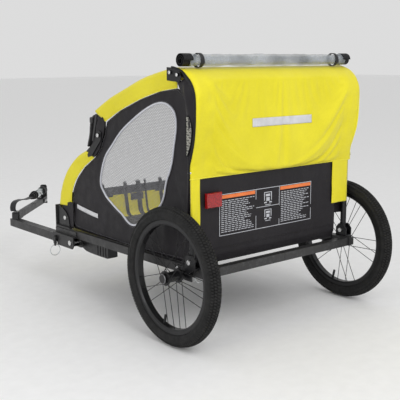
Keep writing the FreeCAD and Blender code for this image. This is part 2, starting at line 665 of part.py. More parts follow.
def hitch_end():
    # The ear plate stands across the tube's far end and carries the flexible joint.
    half = HITCH_SIZE / 2
    top = HITCH_LOW + HITCH_SIZE
    ear = box(-half - 3, half + 3, -HITCH_LENGTH - 5, -HITCH_LENGTH - 1, HITCH_LOW - 6, YOKE_TOP)
    upper_corners = []
    for edge in ear.Edges:
        middle = edge.CenterOfMass
        across = abs(middle.y + HITCH_LENGTH + 3) < 0.1 and abs(abs(middle.x) - half - 3) < 0.1
        if across and middle.z > YOKE_TOP - 1:
            upper_corners.append(edge)
    ear = ear.makeFillet(8, upper_corners)
    foot = box(-half - 3, half + 3, -HITCH_LENGTH - 3, -HITCH_LENGTH + 55, top, top + 4)
    cheeks = []
    for x in (-half - 3, half):
        cheeks.append(box(x, x + 3, -HITCH_LENGTH - 3, -HITCH_LENGTH + 40, HITCH_LOW + 2, top + 2))
    bracket = ear.fuse(foot).fuse(cheeks[0]).fuse(cheeks[1]).removeSplitter()
    bore = rod((0, -HITCH_LENGTH - 10, top + 30), (0, -HITCH_LENGTH + 10, top + 30), 4.05)
    save("hitch_ear_bracket", along_hitch(bracket.cut(bore)))
    bolts = []
    for along in (-HITCH_LENGTH + 14.0, -HITCH_LENGTH + 32.0):
        for side in (1, -1):
            start = (side * (half + 3), along, HITCH_MID_Z)
            bolts.append(rod(start, (side * (half + 7), along, HITCH_MID_Z), 5.0))
    bolts.append(rod((0, -12, top + 5), (0, -12, top + 9), 6.5))
    bolts.append(rod((0, -HITCH_LENGTH - 9, top + 30), (0, -HITCH_LENGTH + 4, top + 30), 4.0))
    save("hitch_bolts", *[along_hitch(b) for b in bolts])


def coupler():
    # Rubber joint, hitch plate and boot: they turn together on the rubber joint's bolt.
    top = HITCH_LOW + HITCH_SIZE
    joint_z = top + 30
    base = -HITCH_LENGTH
    rubber = rod((0, base, joint_z), (0, base + 34, joint_z), 17.0)
    rubber = rubber.cut(rod((0, base - 5, joint_z), (0, base + 5, joint_z), 4.05))
    save("coupler_rubber", along_hitch(rubber.makeFillet(3, [e for e in rubber.Edges
                                                             if e.CenterOfMass.y > base + 33])))
    fork = box(-9, 9, base + 34, base + 50, joint_z - 12, joint_z + 12)
    tongue = box(-3, 3, base + 50, base + 74, joint_z - 9, joint_z + 9)
    pin_hole = rod((-20, base + 64, joint_z), (20, base + 64, joint_z), 4.05)
    save("coupler_tongue", along_hitch(fork.fuse(tongue).removeSplitter().cut(pin_hole)))
    solid = box(-6.1, 6.1, base + 64, base + 128, joint_z - 12, joint_z + 12)
    solid = solid.fuse(rod((-6.1, base + 64, joint_z), (6.1, base + 64, joint_z), 12.0))
    gap = box(-3.1, 3.1, base + 40, base + 122, joint_z - 20, joint_z + 20)
    hitch = solid.removeSplitter().cut(gap)
    hitch = hitch.cut(pin_hole)
    axle_hole = rod((-20, base + 100, joint_z), (20, base + 100, joint_z), 5.0)
    save("axle_hitch_plate", along_hitch(hitch.cut(axle_hole)))
    pin = rod((-9, base + 64, joint_z), (9, base + 64, joint_z), 4.0)
    heads = [rod((6.2, base + 64, joint_z), (10, base + 64, joint_z), 6.5),
             rod((-10, base + 64, joint_z), (-6.2, base + 64, joint_z), 6.5)]
    save("hitch_plate_pin", along_hitch(pin.fuse(heads[0]).fuse(heads[1]).removeSplitter()))
    boot = []
    for i in range(6):
        start = base + 128 + 8 * i
        rib_r = 17.0 - 1.2 * i - 2.0 * (i % 2)
        boot.append(rod((0, start, joint_z), (0, start + 8, joint_z), rib_r))
    whole = boot[0]
    for piece in boot[1:]:
        whole = whole.fuse(piece)
    save("coupler_boot", along_hitch(whole.removeSplitter()))


def safety_strap():
    # Webbing loop from the boot, round the outer corner of the arm.
    path = [(-HITCH_LENGTH + 181, 251), (-150, 252), (-60, 264), (8, 268), (34, 261), (40, 248), (30, 236)]
    width = 11.0
    pieces = []
    for (y0, z0), (y1, z1) in zip(path, path[1:]):
        length = math.hypot(y1 - y0, z1 - z0)
        run = Part.makeBox(2 * width, length, 3.0, V(-width, 0, -1.5))
        run.rotate(ORIGIN, X_AXIS, math.degrees(math.atan2(z1 - z0, y1 - y0)))
        run.translate(V(0, y0, z0))
        pieces.append(run)
    whole = pieces[0]
    for piece in pieces[1:]:
        whole = whole.fuse(piece)
    save("safety_strap", along_hitch(whole.removeSplitter()))


def main():
    os.makedirs("parts", exist_ok=True)
    for name in ("left", "right"):
        save(name + "_side_rail", side_place(name, side_rail()))
    for step in (crossbars, rail_end_caps, front_brackets, hoop_brackets, axle_receivers, frame_bolts,
                 axles, ring_pin_pair, tow_bracket, keel_guards, floor_panel, seat, harness,
                 side_panels, rear_hoop, top_joint, cover, rear_panel, rear_reflector,
                 rolled_cover, lower_bow, upper_bow, elbow_hinges, elbow_latches, bow_sleeves, wheels,
                 tow_tube, tube_end_plugs, lock_pin, hitch_tube, corner_clamp, hitch_end, coupler,
                 safety_strap):
        step()


main()
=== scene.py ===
import json
from math import copysign, cos, exp, pi, radians, sin

import bmesh
import bpy
from mathutils import Matrix, Vector, noise


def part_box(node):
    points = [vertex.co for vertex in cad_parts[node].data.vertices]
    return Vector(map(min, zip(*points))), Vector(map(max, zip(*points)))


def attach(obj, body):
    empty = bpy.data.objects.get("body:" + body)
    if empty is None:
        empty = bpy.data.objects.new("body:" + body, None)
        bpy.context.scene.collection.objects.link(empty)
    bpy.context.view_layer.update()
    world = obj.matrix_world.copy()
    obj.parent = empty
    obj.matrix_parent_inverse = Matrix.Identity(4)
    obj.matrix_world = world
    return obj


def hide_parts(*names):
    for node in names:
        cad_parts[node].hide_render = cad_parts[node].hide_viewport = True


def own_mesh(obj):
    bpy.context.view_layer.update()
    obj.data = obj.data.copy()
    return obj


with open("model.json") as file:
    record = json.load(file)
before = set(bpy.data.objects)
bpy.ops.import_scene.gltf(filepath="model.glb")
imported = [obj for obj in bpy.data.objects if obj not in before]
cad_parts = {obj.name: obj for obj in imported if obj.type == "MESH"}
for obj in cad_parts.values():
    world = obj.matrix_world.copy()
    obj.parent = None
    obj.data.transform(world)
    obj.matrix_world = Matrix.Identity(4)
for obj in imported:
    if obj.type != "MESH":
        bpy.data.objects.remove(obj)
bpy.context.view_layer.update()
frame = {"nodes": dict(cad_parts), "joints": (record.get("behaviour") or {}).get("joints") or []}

# ---- places taken from the frame

JOINTS = {j["name"]: j for j in frame["joints"]}
HOOP_PIVOT_DATUM_Y = 0.611
# The outlines below are drawn in millimetres from the rails' datum; this brings them into the frame.
DATUM_Y = JOINTS["frame_fold"]["pos_m"][1] - HOOP_PIVOT_DATUM_Y
WHEEL_CENTRE = {side: Vector(JOINTS[side + "_wheel_spin"]["pos_m"]) for side in ("left", "right")}
RAIL_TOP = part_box("left_side_rail")[1].z
SIDES = (("left", 1), ("right", -1))
ALONG_X = (1, 0, 0)
CLOTH_THICKNESS = 0.0012
PRINT_THICKNESS = 0.0006
STRAP_THICKNESS = 0.0018


def at(x, y, z):
    return Vector((x / 1000, y / 1000 + DATUM_Y, z / 1000))


def line_at(x, outline):
    return [at(x, y, z) for y, z in outline]


def vec(x, y, z):
    return Vector((x, y, z))


def wander(x, y, z):
    """Smooth noise, the same at the same place each time."""
    return noise.noise(Vector((x, y, z)))


def turned(k, count):
    return 2 * pi * k / count


# ---- curves and meshes

def catmull(points, count, closed=False):
    """Points spaced evenly along a smooth curve through the given ones."""
    pts = [Vector(p) for p in points]
    n = len(pts)
    dense = []
    for i in range(n if closed else n - 1):
        if closed:
            p0, p1, p2, p3 = pts[i - 1], pts[i], pts[(i + 1) % n], pts[(i + 2) % n]
        else:
            p1, p2 = pts[i], pts[i + 1]
            p0 = pts[i - 1] if i else p1 * 2 - p2
            p3 = pts[i + 2] if i + 2 < n else p2 * 2 - p1
        for k in range(16):
            t = k / 16
            dense.append(0.5 * ((2 * p1) + (p2 - p0) * t + (2 * p0 - 5 * p1 + 4 * p2 - p3) * t * t
                                + (3 * p1 - p0 - 3 * p2 + p3) * t ** 3))
    dense.append(pts[0] if closed else pts[-1])
    return resample(dense, count, closed)


def resample(points, count, closed=False):
    lengths = [0.0]
    for a, b in zip(points, points[1:]):
        lengths.append(lengths[-1] + (b - a).length)
    steps = count if closed else count - 1
    result, index = [], 0
    for k in range(count):
        goal = lengths[-1] * k / steps
        while index < len(points) - 2 and lengths[index + 1] < goal:
            index += 1
        span = lengths[index + 1] - lengths[index] or 1e-9
        result.append(points[index].lerp(points[index + 1], min(1.0, (goal - lengths[index]) / span)))
    return result


def smoothstep(t):
    t = min(1.0, max(0.0, t))
    return t * t * (3 - 2 * t)


def link_object(name, mesh, material=None, smooth=True):
    obj = bpy.data.objects.new(name, mesh)
    bpy.context.scene.collection.objects.link(obj)
    if material:
        mesh.materials.append(material)
        mesh.polygons.foreach_set("use_smooth", [smooth] * len(mesh.polygons))
    return obj


def new_object(name, verts, faces, material, smooth=True):
    mesh = bpy.data.meshes.new(name)
    mesh.from_pydata([tuple(v) for v in verts], [], faces)
    mesh.update()
    return link_object(name, mesh, material, smooth)


def object_of(name, bm, material=None):
    mesh = bpy.data.meshes.new(name)
    bm.to_mesh(mesh)
    bm.free()
    return link_object(name, mesh, material)


def grid_faces(rows, cols, wrap_rows=False, wrap_cols=False, flip=False):
    faces = []
    for i in range(rows if wrap_rows else rows - 1):
        for j in range(cols if wrap_cols else cols - 1):
            a, b = i * cols + j, i * cols + (j + 1) % cols
            c, d = ((i + 1) % rows) * cols + (j + 1) % cols, ((i + 1) % rows) * cols + j
            faces.append((a, d, c, b) if flip else (a, b, c, d))
    return faces


def grid(count, across, place):
    """Rows of points; place gives each one from its row and its number in the row."""
    return [[place(i, k) for k in range(across)] for i in range(count)]


def sheet_mesh(name, rows, material, flip=False, wrap_rows=False, wrap_cols=False):
    verts = [p for row in rows for p in row]
    faces = grid_faces(len(rows), len(rows[0]), wrap_rows, wrap_cols, flip)
    return new_object(name, verts, faces, material)


def bake_modifiers(obj):
    """Leaves the modifiers' result in the mesh."""
    graph = bpy.context.evaluated_depsgraph_get()
    mesh = bpy.data.meshes.new_from_object(obj.evaluated_get(graph), depsgraph=graph)
    obj.modifiers.clear()
    old = obj.data
    obj.data = mesh
    bpy.data.meshes.remove(old)
    return obj


def thicken(obj, thickness=CLOTH_THICKNESS, offset=0.0):
    shell = obj.modifiers.new("shell", "SOLIDIFY")
    shell.thickness, shell.offset = thickness, offset
    return bake_modifiers(obj)


def simulate(obj, frames, gravity, values, pinned=()):
    """Lets cloth settle between its pinned points, and leaves the result in the mesh."""
    if pinned:
        obj.vertex_groups.new(name="pin").add(pinned, 1.0, "REPLACE")
    sim = obj.modifiers.new("cloth", "CLOTH")
    for key, value in values.items():
        setattr(sim.settings, key, value)
    sim.settings.effector_weights.gravity = gravity
    if pinned:
        sim.collision_settings.use_collision = False
    sim.point_cache.frame_start, sim.point_cache.frame_end = 1, frames
    for number in range(1, frames + 1):
        bpy.context.scene.frame_set(number)
    bake_modifiers(obj)
    bpy.context.scene.frame_set(1)
    obj.vertex_groups.clear()


def tangent_at(pts, i, closed=False):
    n = len(pts)
    ahead = pts[(i + 1) % n] if closed or i + 1 < n else pts[i]
    behind = pts[i - 1] if closed or i else pts[i]
    return (ahead - behind).normalized()


def tube(name, points, radius, material, closed=False, sides=10):
    """A round tube along the points."""
    pts = [Vector(p) for p in points]
    n = len(pts)
    normal = None
    verts = []
    for i, p in enumerate(pts):
        tangent = tangent_at(pts, i, closed)
        if normal is None:
            normal = tangent.orthogonal().normalized()
        normal = (normal - tangent * normal.dot(tangent)).normalized()
        side = tangent.cross(normal)
        for k in range(sides):
            a = turned(k, sides)
            verts.append(p + (normal * cos(a) + side * sin(a)) * radius)
    faces = grid_faces(n, sides, wrap_rows=closed, wrap_cols=True)
    if not closed:
        faces += [tuple(reversed(range(sides))), tuple(range((n - 1) * sides, n * sides))]
    return new_object(name, verts, faces, material)


def face_outward(obj, caps=()):
    """Closes each given ring of points, and turns every face outward."""
    bm = bmesh.new()
    bm.from_mesh(obj.data)
    bm.verts.ensure_lookup_table()
    for ring in caps:
        bm.faces.new([bm.verts[k] for k in ring])
    bmesh.ops.recalc_face_normals(bm, faces=bm.faces)
    bm.to_mesh(obj.data)
    bm.free()
    return obj


def ribbon(name, points, width, thickness, across, material):
    """A flat strap along the points; across is its width direction."""
    pts = [Vector(p) for p in points]
    half, th = width / 2, thickness / 2
    rim = min(th, 0.0006)
    ring = [(-half, -th + rim), (-half + rim, -th), (half - rim, -th), (half, -th + rim),
            (half, th - rim), (half - rim, th), (-half + rim, th), (-half, th - rim)]
    rows = []
    for i, p in enumerate(pts):
        tangent = tangent_at(pts, i)
        wide = Vector(across)
        wide = (wide - tangent * wide.dot(tangent)).normalized()
        up = tangent.cross(wide)
        rows.append([p + wide * a + up * b for a, b in ring])
    last = (len(pts) - 1) * 8
    return face_outward(sheet_mesh(name, rows, material, wrap_cols=True),
                        (reversed(range(8)), range(last, last + 8)))


def rounded_block(name, low, high, radius, material, segments=3):
    bm = bmesh.new()
    bmesh.ops.create_cube(bm, size=1.0)
    size, mid = Vector(high) - Vector(low), (Vector(high) + Vector(low)) / 2
    bmesh.ops.scale(bm, vec=size, verts=bm.verts)
    bmesh.ops.translate(bm, vec=mid, verts=bm.verts)
    bmesh.ops.bevel(bm, geom=list(bm.edges), offset=radius, segments=segments, affect="EDGES", profile=0.5)
    return object_of(name, bm, material)


def stitches(name, points, outward, material, radius=0.00035, pitch=0.0042, length=0.0027):
    """A row of short thread stitches along the points, standing a little out of the cloth."""
    total = sum((b - a).length for a, b in zip(points, points[1:]))
    path = resample([Vector(p) for p in points], max(3, int(total / pitch)))
    verts, faces = [], []
    out = Vector(outward)
    lift = out.normalized() * radius
    for a, b in zip(path, path[1:]):
        along = (b - a).normalized()
        side = along.cross(out).normalized() * radius
        gap = along * ((b - a).length - length) / 2
        start, end = a + gap, b - gap
        middle = (start + end) / 2 + lift * 1.6
        base = len(verts)
        for p, s in ((start, 0.5), (middle, 1.0), (end, 0.5)):
            verts += [p - side * s, p + lift * s, p + side * s, p - lift * s]
        for first in (base, base + 4):
            for k in range(4):
                after = first + (k + 1) % 4
                faces.append((first + k, after, after + 4, first + 4 + k))
        faces += [(base + 3, base + 2, base + 1, base), (base + 8, base + 9, base + 10, base + 11)]
    return new_object(name, verts, faces, material)


def mirror_copy(obj, name):
    mesh = obj.data.copy()
    mesh.transform(Matrix.Scale(-1, 4, ALONG_X))
    mesh.flip_normals()
    return link_object(name, mesh)


def join(objects, name):
    """One object from several; their materials are kept."""
    bm = bmesh.new()
    slots = []
    for obj in objects:
        first = len(bm.faces)
        bm.from_mesh(obj.data)
        bm.faces.ensure_lookup_table()
        for face in bm.faces[first:]:
            material = obj.data.materials[face.material_index]
            if material not in slots:
                slots.append(material)
            face.material_index = slots.index(material)
    for obj in objects:
        bpy.data.objects.remove(obj)
    whole = object_of(name, bm)
    for material in slots:
        whole.data.materials.append(material)
    return whole


def settle_folding(obj):
    """Cloth on the chassis: attaches the piece to the chassis body with its own copy of the mesh."""
    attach(obj, "chassis")
    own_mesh(obj)


# ---- materials

WAVE_PERIOD = 0.314  # metres between a wave texture's bands at scale 1


class Nodes:
    """A short way to build a material's node tree."""

    def __init__(self, name):
        self.material = bpy.data.materials.new(name)
        self.material.use_nodes = True
        self.tree = self.material.node_tree
        self.bsdf = self.tree.nodes["Principled BSDF"]
        self.place = self.tree.nodes.new("ShaderNodeTexCoord").outputs["Object"]

    def add(self, kind, values=None, **links):
        node = self.tree.nodes.new("ShaderNode" + kind)
        for key, value in (values or {}).items():
            if key in node.inputs:
                node.inputs[key].default_value = value
            else:
                setattr(node, key, value)
        for key, source in links.items():
            self.tree.links.new(source, node.inputs[key])
        return node

    def link(self, source, socket):
        self.tree.links.new(source, self.bsdf.inputs[socket])

    def set(self, **values):
        """Sets the shader's own sockets; a low line in a name stands for a space."""
        for key, value in values.items():
            self.bsdf.inputs[key.replace("_", " ")].default_value = value

    def fill(self, node, sockets, values):
        """Puts a number, a colour or another node's result in each socket."""
        for socket, value in zip(sockets, values):
            if isinstance(value, (int, float)):
                node.inputs[socket].default_value = value
            elif isinstance(value, tuple):
                node.inputs[socket].default_value = (*value, 1)
            else:
                self.tree.links.new(value, node.inputs[socket])

    def noise(self, scale, detail=3.0, rough=0.5):
        return self.add("TexNoise", {"Scale": scale, "Detail": detail, "Roughness": rough},
                        Vector=self.place).outputs["Fac"]

    def ramp(self, factor, stops):
        node = self.add("ValToRGB", Fac=factor)
        elements = node.color_ramp.elements
        while len(elements) < len(stops):
            elements.new(0.5)
        for element, (position, grey) in zip(elements, stops):
            element.position = position
            element.color = (grey, grey, grey, 1)
        return node.outputs["Color"]

    def patches(self, scale, detail=3.0, rough=0.5, low=0.3, high=0.7):
        """A blend factor in soft patches."""
        return self.ramp(self.noise(scale, detail, rough), [(low, 0.0), (high, 1.0)])

    def edges(self, stops):
        """A factor that follows how sharply the surface turns: used for worn paint edges and for painted
        shade in hollows.
        """
        return self.ramp(self.add("NewGeometry").outputs["Pointiness"], stops)

    def maths(self, operation, first, second):
        node = self.add("Math", {"operation": operation})
        self.fill(node, (0, 1), (first, second))
        return node.outputs[0]

    def mix(self, factor, first, second, kind="MIX"):
        node = self.add("Mix", {"data_type": "RGBA", "blend_type": kind})
        self.fill(node, (0, 6, 7), (factor, first, second))
        return node.outputs[2]

    def bump(self, height, strength, distance, normal=None):
        node = self.add("Bump", {"Strength": strength, "Distance": distance}, Height=height)
        if normal is not None:
            self.tree.links.new(normal, node.inputs["Normal"])
        return node.outputs["Normal"]

    def wave(self, scale, direction):
        values = {"Scale": scale, "Distortion": 0.0, "wave_profile": "SIN", "bands_direction": direction}
        return self.add("TexWave", values, Vector=self.place).outputs["Fac"]

    def weave(self, per_metre):
        """A plain weave's height: threads crossing along the three axes."""
        scale = per_metre * WAVE_PERIOD
        flat = self.maths("MAXIMUM", self.wave(scale, "X"), self.wave(scale, "Y"))
        return self.maths("MULTIPLY", flat, self.wave(scale, "Z"))

    def paint(self, factor, first, second):
        self.link(self.mix(factor, first, second), "Base Color")

    def gloss(self, scale, least, most, detail=3.0, high=0.7):
        """Roughness that varies in patches."""
        self.link(self.ramp(self.noise(scale, detail), [(0.3, least), (high, most)]), "Roughness")

    def relief(self, height, strength, distance, normal=None):
        self.link(self.bump(height, strength, distance, normal), "Normal")


def cloth(name, dark, light, per_metre, roughness, sheen, wrinkle, coat=0.0):
    m = Nodes(name)
    weave = m.weave(per_metre)
    colour = m.mix(m.patches(7.0, 5.0, 0.6, high=0.72), dark, light)
    fine = m.maths("MULTIPLY", m.noise(160.0, 3.0, 0.6), 0.35)
    shade = m.mix(fine, colour, tuple(c * 0.8 for c in dark))
    m.paint(m.maths("MULTIPLY", weave, 0.12), shade, tuple(min(1.0, c * 1.25) for c in light))
    m.gloss(30.0, roughness - 0.07, roughness + 0.08)
    m.relief(weave, 0.35, 0.0004, m.bump(m.noise(22.0, 4.0, 0.55), wrinkle, 0.004))
    m.set(Sheen_Weight=sheen, Sheen_Roughness=0.5, Specular_IOR_Level=0.25, Coat_Weight=coat,
          Coat_Roughness=0.35)
    return m.material


def webbing(name, colour):
    m = Nodes(name)
    m.paint(m.patches(90.0, low=0.35), colour, tuple(c * 2.6 for c in colour))
    m.gloss(50.0, 0.55, 0.75)
    m.relief(m.maths("MULTIPLY", m.wave(38.0, "DIAGONAL"), m.wave(55.0, "Z")), 0.5, 0.0006)
    m.set(Sheen_Weight=0.05)
    return m.material


def steel_paint(name, dark, light, roughness, metallic=0.35, wear=0.04):
    """Powder-coated or satin-painted steel: orange peel, dust, and brighter worn edges."""
    m = Nodes(name)
    worn = m.maths("MULTIPLY", m.edges([(0.56, 0.0), (0.68, 1.0)]), m.patches(90.0, 5.0, 0.65, 0.52, 0.75))
    bare = tuple(min(1.0, c * 1.3 + wear) for c in light)
    m.paint(worn, m.mix(m.patches(6.0, 4.0), dark, light), bare)
    m.gloss(40.0, roughness - 0.08, roughness + 0.12, 4.0, 0.75)
    m.relief(m.noise(700.0, 2.0), 0.12, 0.0006)
    m.set(Metallic=metallic)
    return m.material


def bare_metal(name, dark, light, roughness=0.28):
    m = Nodes(name)
    m.paint(m.patches(60.0, 5.0, 0.7, 0.35), dark, light)
    m.gloss(110.0, roughness - 0.08, roughness + 0.18, 4.0, 0.75)
    m.relief(m.noise(420.0, 2.0), 0.1, 0.0004)
    m.set(Metallic=1.0)
    return m.material


def plastic(name, dark, light, roughness, grain=900.0):
    m = Nodes(name)
    m.paint(m.patches(25.0, 5.0, 0.6), dark, light)
    m.gloss(60.0, roughness - 0.08, roughness + 0.08)
    m.relief(m.noise(grain, 3.0), 0.25, 0.0005)
    return m.material


def rubber(name, dark, light, roughness=0.72):
    m = Nodes(name)
    dusty = m.mix(m.patches(35.0, 6.0, 0.7, 0.42, 0.72), dark, light)
    # Painted shade: the rubber's colour is darkened in its grooves and hollows, where the surface turns
    # inward.
    m.link(m.mix(1.0, dusty, m.edges([(0.44, 0.25), (0.5, 0.8), (0.58, 1.0)]), "MULTIPLY"), "Base Color")
    m.gloss(80.0, roughness - 0.1, roughness + 0.12)
    m.relief(m.noise(500.0, 4.0), 0.3, 0.0006)
    m.set(Specular_IOR_Level=0.3)
    return m.material


def mesh_cloth(name, colour, cover, cell, tint):
    """A see-through net: threads round small holes, softened where threads lie double."""
    m = Nodes(name)
    thread = m.maths("MAXIMUM", m.wave(WAVE_PERIOD / cell, "DIAGONAL"), m.wave(WAVE_PERIOD / cell, "Z"))
    m.paint(m.patches(40.0), colour, tint)
    m.link(m.ramp(thread, [(0.35, cover - 0.16), (0.8, min(1.0, cover + 0.22))]), "Alpha")
    m.gloss(60.0, 0.5, 0.7)
    m.relief(thread, 0.4, 0.0005)
    m.set(Sheen_Weight=0.3)
    return m.material


def vinyl(name):
    m = Nodes(name)
    m.paint(m.patches(9.0, 4.0, 0.5, 0.35, 0.65), (0.16, 0.18, 0.20), (0.52, 0.56, 0.60))
    m.link(m.ramp(m.noise(16.0, 5.0, 0.6), [(0.35, 0.30), (0.7, 0.62)]), "Alpha")
    m.gloss(28.0, 0.08, 0.26, high=0.75)
    m.relief(m.noise(30.0, 5.0, 0.6), 0.7, 0.006)
    m.set(Coat_Weight=0.6)
    return m.material


def reflector_lens(name):
    m = Nodes(name)
    cells = m.add("TexVoronoi", {"Scale": 230.0, "feature": "F1"}, Vector=m.place).outputs["Distance"]
    m.paint(m.ramp(cells, [(0.1, 0.0), (0.7, 1.0)]), (0.17, 0.004, 0.006), (0.36, 0.008, 0.010))
    m.gloss(60.0, 0.10, 0.22)
    m.relief(cells, 0.25, 0.0008)
    m.set(Coat_Weight=0.4, Coat_Roughness=0.05)
    return m.material


M = {
    "yellow": cloth("yellow_fabric", (0.72, 0.63, 0.010), (0.84, 0.745, 0.022), 620, 0.50, 0.12, 0.30, 0.12),
    # Painted light: the inner yellow is a brighter copy of the outer yellow, so the shaded cabin face looks
    # lit.
    "painted_light_yellow_inner": cloth("painted_light_yellow_fabric", (0.86, 0.76, 0.014), (0.95, 0.85, 0.03), 620, 0.5, 0.2,
                          0.25),
    "yellow_edge": cloth("yellow_binding", (0.80, 0.72, 0.03), (0.90, 0.83, 0.06), 800, 0.5, 0.15, 0.2),
    "black": cloth("black_fabric", (0.011, 0.0095, 0.0115), (0.018, 0.016, 0.019), 620, 0.5, 0.0, 0.5),
    "black_edge": cloth("black_binding", (0.004, 0.004, 0.005), (0.009, 0.009, 0.010), 900, 0.5, 0.0, 0.2),
    "grey_fabric": cloth("grey_fabric", (0.045, 0.045, 0.05), (0.075, 0.075, 0.08), 620, 0.62, 0.0, 0.3),
    "piping": cloth("grey_piping", (0.52, 0.53, 0.58), (0.66, 0.67, 0.72), 900, 0.5, 0.15, 0.15),
    "thread": cloth("grey_thread", (0.25, 0.25, 0.27), (0.38, 0.38, 0.40), 2000, 0.6, 0.2, 0.1),
    "yellow_thread": cloth("yellow_thread", (0.66, 0.58, 0.02), (0.78, 0.70, 0.05), 2000, 0.6, 0.2, 0.1),
    "window": mesh_cloth("window_mesh", (0.15, 0.15, 0.16), 0.36, 0.0042, (0.20, 0.20, 0.215)),
    "pocket": mesh_cloth("pocket_mesh", (0.62, 0.61, 0.52), 0.28, 0.0072, (0.45, 0.44, 0.40)),
    "vinyl": vinyl("clear_vinyl"),
    "webbing": webbing("black_webbing", (0.006, 0.006, 0.007)),
    "frame": steel_paint("grey_powder_coat", (0.024, 0.0235, 0.024), (0.036, 0.0355, 0.036), 0.42, 0.2),
    "latch": steel_paint("grey_latch_paint", (0.035, 0.034, 0.036), (0.055, 0.054, 0.056), 0.42),
    "black_paint": steel_paint("black_powder_coat", (0.004, 0.004, 0.005), (0.010, 0.010, 0.011), 0.36, 0.1,
                               0.01),
    "joint_sleeve": steel_paint("sleeve_paint", (0.030, 0.030, 0.031), (0.045, 0.044, 0.046), 0.42, 0.3),
    "spoke": steel_paint("black_spoke", (0.006, 0.006, 0.007), (0.014, 0.014, 0.015), 0.3, 0.4, 0.01),
    "rim": steel_paint("black_anodised", (0.010, 0.010, 0.011), (0.018, 0.018, 0.019), 0.36, 0.3, 0.01),
    "zinc": bare_metal("zinc_plate", (0.42, 0.45, 0.45), (0.70, 0.73, 0.73)),
    "bolt": bare_metal("bright_bolt", (0.55, 0.55, 0.55), (0.80, 0.80, 0.80), 0.24),
    "dark_steel": bare_metal("dark_steel", (0.16, 0.16, 0.165), (0.30, 0.30, 0.31), 0.36),
    "plastic": plastic("black_plastic", (0.004, 0.004, 0.005), (0.010, 0.010, 0.011), 0.42),
    "guard": plastic("keel_plastic", (0.008, 0.008, 0.009), (0.017, 0.0165, 0.017), 0.42),
    "label_grey": plastic("label_print_grey", (0.42, 0.43, 0.46), (0.55, 0.56, 0.60), 0.5),
    "label_orange": plastic("label_print_orange", (0.72, 0.16, 0.035), (0.86, 0.22, 0.05), 0.5),
    "silver": plastic("reflective_silver", (0.50, 0.50, 0.52), (0.68, 0.68, 0.70), 0.35),
    "tyre": rubber("tyre_rubber", (0.010, 0.010, 0.010), (0.020, 0.0195, 0.019)),
    "rubber": rubber("soft_rubber", (0.005, 0.005, 0.006), (0.012, 0.0115, 0.012), 0.5),
    "lens": reflector_lens("reflector_lens"),
}
# Painted light: the inner yellow cloth glows a little, standing in for daylight coming through the thin
# front panel.
painted_glow_shader = M["painted_light_yellow_inner"].node_tree.nodes["Principled BSDF"]
painted_glow_shader.inputs["Emission Color"].default_value = (0.86, 0.74, 0.03, 1)
painted_glow_shader.inputs["Emission Strength"].default_value = 0.30

# ---- CAD nodes that stay

KEPT = {
    "frame": "left_side_rail right_side_rail crossbars tow_tube hitch_tube tow_bracket front_brackets",
    "black_paint": "hoop_brackets axle_receivers hoop_posts hoop_crossbar top_joints lower_bows upper_bows "
                   "elbow_hinges elbow_bosses hitch_ear_bracket tow_lock_pin wheel_axles",
    "latch": "left_latch_lever right_latch_lever",
    "zinc": "left_axle_pin right_axle_pin left_axle_pin_ring right_axle_pin_ring tow_lock_pin_ring "
            "coupler_tongue axle_hitch_plate",
    "bolt": "frame_bolts hitch_bolts hitch_plate_pin",
    "joint_sleeve": "crossbar_joint_sleeve",
    "spoke": "left_spokes right_spokes left_hub right_hub",
    "rim": "left_rim right_rim",
    "plastic": "rail_end_caps tube_end_plugs corner_clamp left_hub_bearings right_hub_bearings",
    "guard": "keel_guards",
    "rubber": "coupler_rubber coupler_boot",
    "lens": "rear_reflector",
}


def paint_cad_nodes():
    for key, names in KEPT.items():
        for name in names.split():
            slots = frame["nodes"][name].data.materials
            slots.clear()
            slots.append(M[key])


def two_tone_bracket():
    """The front bracket's side plate is black; its front strip and top stay grey."""
    mesh = frame["nodes"]["front_brackets"].data
    mesh.materials.append(M["black_paint"])
    strip = at(0, -141, 0).y
    for poly in mesh.polygons:
        if poly.center.y > strip and poly.center.z > RAIL_TOP + 0.004:
            poly.material_index = 1


# ---- bow bands

LOWER_OUTER = [(-140, 303), (-127, 352), (-96, 409), (-50, 455), (0, 488), (51, 509)]
LOWER_INNER = [(-66, 304), (-53, 362), (-24, 406), (23, 448), (90, 487)]
UPPER_OUTER = [(105, 641), (189, 682), (272, 713), (350, 741), (424, 760), (494, 773), (527, 776)]
UPPER_INNER = [(161, 608), (242, 646), (348, 684), (446, 710), (529, 722)]
BAND_LAP = 0.014


def band(name, outer, inner, body, node):
    """A yellow sleeve laced round a bow: over the tube, and down the outside as a flat strip."""
    out, inn = [catmull(line_at(0, line), 46) for line in (outer, inner)]
    rows, edge, seam = [], [], []
    for start, end in zip(inn, out):
        width = (end - start).length
        ring = []
        for k in range(9):
            d = width + (BAND_LAP - width) * k / 8
            flare = smoothstep((d - BAND_LAP) / (width - BAND_LAP))
            ring.append((0.3122 - 0.0062 * flare, d))
        for k in range(1, 10):
            a = pi * k / 10
            ring.append((0.2985 + 0.0137 * cos(a), 0.0135 - 0.0135 * sin(a)))
        ring += [(0.2848, 0.0145), (0.2846, 0.024), (0.2850, 0.034)]
        row = []
        for j, (x, d) in enumerate(ring):
            ripple = 0.0011 * wander(end.y * 38, end.z * 38, j * 0.9)
            row.append(vec(x + ripple, 0, 0) + start.lerp(end, 1 - d / width))
        rows.append(row)
        edge.append(row[0] + vec(0.0006, 0, 0))
        seam.append(edge[-1] + vec(0.0016, 0, 0) + (end - start).normalized() * 0.006)
    whole = join([thicken(sheet_mesh(name, rows, M["yellow"]), 0.0016),
                  tube("edge", edge, 0.0017, M["yellow_edge"], sides=8),
                  stitches("stitch", seam, ALONG_X, M["yellow_thread"])], "left_" + name)
    for obj in (whole, mirror_copy(whole, "right_" + name)):
        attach(obj, body)
        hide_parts(node)


# ---- side panels and windows

